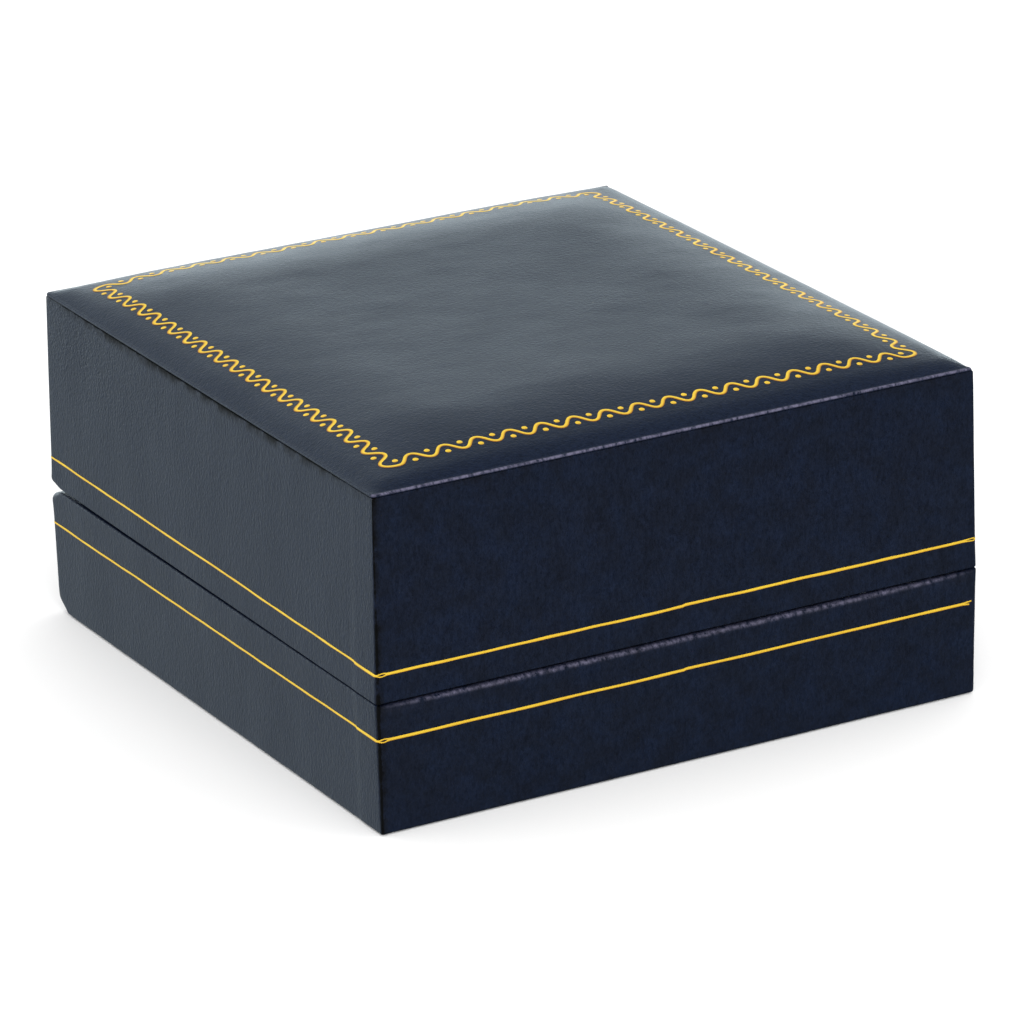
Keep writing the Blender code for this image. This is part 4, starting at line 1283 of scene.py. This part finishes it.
def add_strip(name, node):
    """A thin sheet in the middle of a CAD strip: up its back face and down its front face."""
    low, high = (np.array(corner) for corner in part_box(node))
    xs = np.linspace(low[0] + 0.1 * mm, high[0] - 0.1 * mm, 32)
    up = np.linspace(*STRIP_ENDS, 29)
    middle = (low[1] + high[1]) / 2
    ys = np.r_[np.full(len(up), middle + STRIP_THICK / 2), np.full(len(up), middle - STRIP_THICK / 2)]
    zs = np.r_[up, up[::-1]]
    points = np.stack(np.broadcast_arrays(xs[::-1, None], ys, zs), -1).copy()
    points[..., 1] += 0.02 * mm * uneven(points * [1, 0, 1], 4 * mm, 111)
    return add_grid(name, points, WALL_LEATHER, close_rows=False, fold=0.0, rub=0.0, pebble=0.0)


for side_name in ("left", "right"):
    strip = add_strip("hinge_spine_" + side_name, "hinge_strip_" + side_name)
    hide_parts("hinge_strip_" + side_name)
    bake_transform(strip)

# %% [markdown]
# ## Finishes for the pieces kept from CAD
#
# The moulded shells, the hinge and its rivets, the spring, the paper under the foot, the foam
# and the board keep their CAD shapes. They only take better materials, made from the same groups:
# a spark-eroded texture on plastic, brushed lines and tarnish on metal, fibres in board and paper.

# %% Materials for CAD pieces
def made_of(name, first, second, rough, texture, relief, **settings):
    """A material of two colours mixed by a group's tone, with roughness and bump by its height."""
    material, tree, shader, place = new_material(name, **settings)
    drawn, group, values = texture
    pattern = place_group(tree, group, Vector=stretch(tree, place, drawn), **values)
    colour = blend_colours(tree, between(tree, pattern["Tone"], 0.0, 1.0, 0.38, 0.62), first, second)
    dust = place_group(tree, DUST, Vector=place, Size=220.0, Reach=0.03)
    colour = blend_colours(tree, dust["Mask"], colour, DUSTY)
    feed(tree, shader, Base_Color=colour, Roughness=between(tree, pattern["Tone"], *rough, 0.35, 0.65))
    bump(tree, shader, pattern["Height"], 0.5, relief)
    return material


PLASTIC = made_of("black_plastic", (0.016, 0.016, 0.018, 1), (0.026, 0.026, 0.029, 1), (0.42, 0.6),
                  ((1, 1, 1), GRAIN, dict(Size=2600.0, Creases=0.6)), 0.05 * mm, Specular_IOR_Level=0.4)
PAPER = made_of("black_paper", (0.012, 0.012, 0.014, 1), (0.022, 0.022, 0.025, 1), (0.7, 0.9),
                ((1, 1, 1), WEAVE, dict(Size=420.0, Cross=1.0)), 0.05 * mm, Specular_IOR_Level=0.25)
FOAM = made_of("grey_foam", (0.30, 0.30, 0.29, 1), (0.48, 0.47, 0.45, 1), (0.9, 1.0),
               ((1, 1, 1), GRAIN, dict(Size=1100.0, Creases=1.4)), 0.35 * mm, Specular_IOR_Level=0.1)
CARD = made_of("greyboard", (0.30, 0.28, 0.25, 1), (0.42, 0.40, 0.36, 1), (0.8, 0.95),
               ((1, 0.3, 1), GRAIN, dict(Size=900.0, Creases=0.2)), 0.06 * mm, Specular_IOR_Level=0.2)
BRASS = made_of("plated_brass", (0.86, 0.66, 0.30, 1), (0.60, 0.40, 0.15, 1), (0.20, 0.42),
                ((0.08, 1, 1), WEAVE, dict(Size=1500.0, Cross=0.1)), 0.01 * mm, Metallic=1.0)
STEEL = made_of("spring_steel", (0.52, 0.53, 0.55, 1), (0.34, 0.35, 0.37, 1), (0.25, 0.45),
                ((1, 1, 0.06), WEAVE, dict(Size=2200.0, Cross=0.1)), 0.01 * mm, Metallic=1.0)
KEPT = {
    PLASTIC: ("base_shell", "lid_shell"),
    PAPER: ("bottom_sheet",),
    FOAM: ("pad_foam", "lid_top_foam"),
    CARD: ("lid_pad_board",),
    BRASS: ("base_hinge_leaf", "lid_hinge_leaf", "hinge_pin", "base_rivet_left", "base_rivet_right",
            "lid_rivet_left", "lid_rivet_right", "spring_rivet"),
    STEEL: ("snap_spring",)}
for material, names in KEPT.items():
    for name in names:
        for slot in frame["nodes"][name].material_slots:
            slot.material = material
print("kept from CAD:", sum(len(names) for names in KEPT.values()), "pieces")

# %% [markdown]
# ## The floor
#
# The box stands on one pale sheet, as small goods do in a studio. It is kept out of shiny
# surfaces, because it would light up the foot of every wall.

# %% Floor
FLOOR_SIZE = 4.0
floor_material, tree, shader, place = new_material("pale_floor", Roughness=0.8, Specular_IOR_Level=0.0)
cloudy = add_node(tree, "TexNoise", {"Vector": place, "Scale": 3.0, "Detail": 2.0})
pale, paler = (0.90, 0.90, 0.90, 1), (0.92, 0.92, 0.92, 1)
feed(tree, shader, Base_Color=blend_colours(tree, cloudy.outputs["Fac"], pale, paler))
floor_corners = np.array([[-1, -1, 0], [1, -1, 0], [1, 1, 0], [-1, 1, 0]]) * FLOOR_SIZE / 2
floor = add_mesh("floor", floor_corners - [0, 0, 0.02 * mm], [[0, 1, 2, 3]], floor_material)
floor.visible_glossy = False

# %% [markdown]
# ## The white surround
#
# Plain white light from all round lights the box evenly. Shiny surfaces show what stands round
# them, so the surround that they reflect is graded: bright behind and to the left, dimmer
# overhead and in front. That keeps the front deep navy and gives the left wall and the top their
# soft sheen. Each bright part is a lobe, which is a cosine raised to a power.

# %% Surround
world = bpy.data.worlds.new("studio")
bpy.context.scene.world = world
world.use_nodes = True
tree = world.node_tree
tree.nodes.clear()
direction = add_node(tree, "TexCoord").outputs["Generated"]


def lobe(x, y, z, tight):
    """How near a direction is to another: max(cos, 0) to a power."""
    length = math.sqrt(x * x + y * y + z * z)
    cosine = add_node(tree, "VectorMath", {0: direction, 1: (x / length, y / length, z / length)},
                      operation="DOT_PRODUCT").outputs["Value"]
    return maths(tree, "POWER", maths(tree, "MAXIMUM", cosine, 0.0), tight)


height = add_node(tree, "SeparateXYZ", {0: direction}).outputs["Z"]
level = maths(tree, "SUBTRACT", 1.0, maths(tree, "ABSOLUTE", height))
horizon = maths(tree, "MULTIPLY", maths(tree, "POWER", level, 8.5), lobe(0.45, 0.85, 0.0, 2.0))
reflected = maths(tree, "MULTIPLY", lobe(-0.55, 0.8, 0.0, 1.5), 0.64)
reflected = maths(tree, "ADD", reflected, maths(tree, "MULTIPLY", lobe(0.5, 0.8, 0.3, 2.0), 0.28))
reflected = maths(tree, "ADD", reflected, maths(tree, "MULTIPLY", horizon, 3.4))
reflected = maths(tree, "ADD", reflected, 0.12)
mirror_light = add_node(tree, "Background", {"Color": (0.90, 1.04, 1.10, 1.0), "Strength": reflected})
plain_light = add_node(tree, "Background", {"Color": (1.0, 1.0, 1.0, 1.0), "Strength": 1.3})
glossy = add_node(tree, "LightPath").outputs["Is Glossy Ray"]
chosen = add_node(tree, "MixShader", {0: glossy, 1: plain_light.outputs[0], 2: mirror_light.outputs[0]})
add_node(tree, "OutputWorld", {"Surface": chosen.outputs[0]})

# %% [markdown]
# ## A softbox in front
#
# One broad soft light at the front left brightens the gold, and gives rims a gentle highlight.

# %% Soft front light
key = bpy.data.lights.new("front_softbox", "AREA")
key.shape = "RECTANGLE"
key.size, key.size_y = 1.2, 0.8
key.energy = 11.0
key_holder = bpy.data.objects.new("front_softbox", key)
key_holder.location = (-0.35, -1.3, 0.75)
key_holder.rotation_euler = (math.radians(62), 0, math.radians(-15))
key_holder.visible_glossy = False
bpy.context.scene.collection.objects.link(key_holder)

# %% [markdown]
# ## The camera
#
# The camera looks down on the box's near left corner through a long lens. Three turns and an
# offset place it: the view matrix takes the box to the camera, so its transpose places the camera.

# %% Camera
CAMERA_TURN = 0.5045        # round the box, from the front towards the left
CAMERA_TILT = -1.2187       # from looking straight down
CAMERA_ROLL = 0.026
LENS_RATIO = 6040.72 / 1024  # focal length over picture width
CAMERA_OFFSET = np.array([-0.0081, -0.2098, -9.1469]) * 2 * HALF_W


def turn(angle, axis):
    """A rotation matrix about x or z."""
    c, s = math.cos(angle), math.sin(angle)
    return np.array([[1, 0, 0], [0, c, -s], [0, s, c]] if axis == "x" else [[c, -s, 0], [s, c, 0], [0, 0, 1]])


view = turn(CAMERA_ROLL, "z") @ turn(CAMERA_TILT, "x") @ turn(CAMERA_TURN, "z")
camera = bpy.data.cameras.new("camera")
camera.sensor_width = 36.0
camera.lens = camera.sensor_width * LENS_RATIO
camera.clip_start, camera.clip_end = 0.05, 20.0
camera_holder = bpy.data.objects.new("camera", camera)
matrix = np.eye(4)
matrix[:3, :3] = view.T
matrix[:3, 3] = -view.T @ CAMERA_OFFSET
camera_holder.matrix_world = Matrix(matrix.tolist())
bpy.context.scene.collection.objects.link(camera_holder)
bpy.context.scene.camera = camera_holder
bpy.context.scene.view_settings.view_transform = "Standard"
print("camera at", [round(value, 3) for value in matrix[:3, 3]], "lens", round(camera.lens, 1))
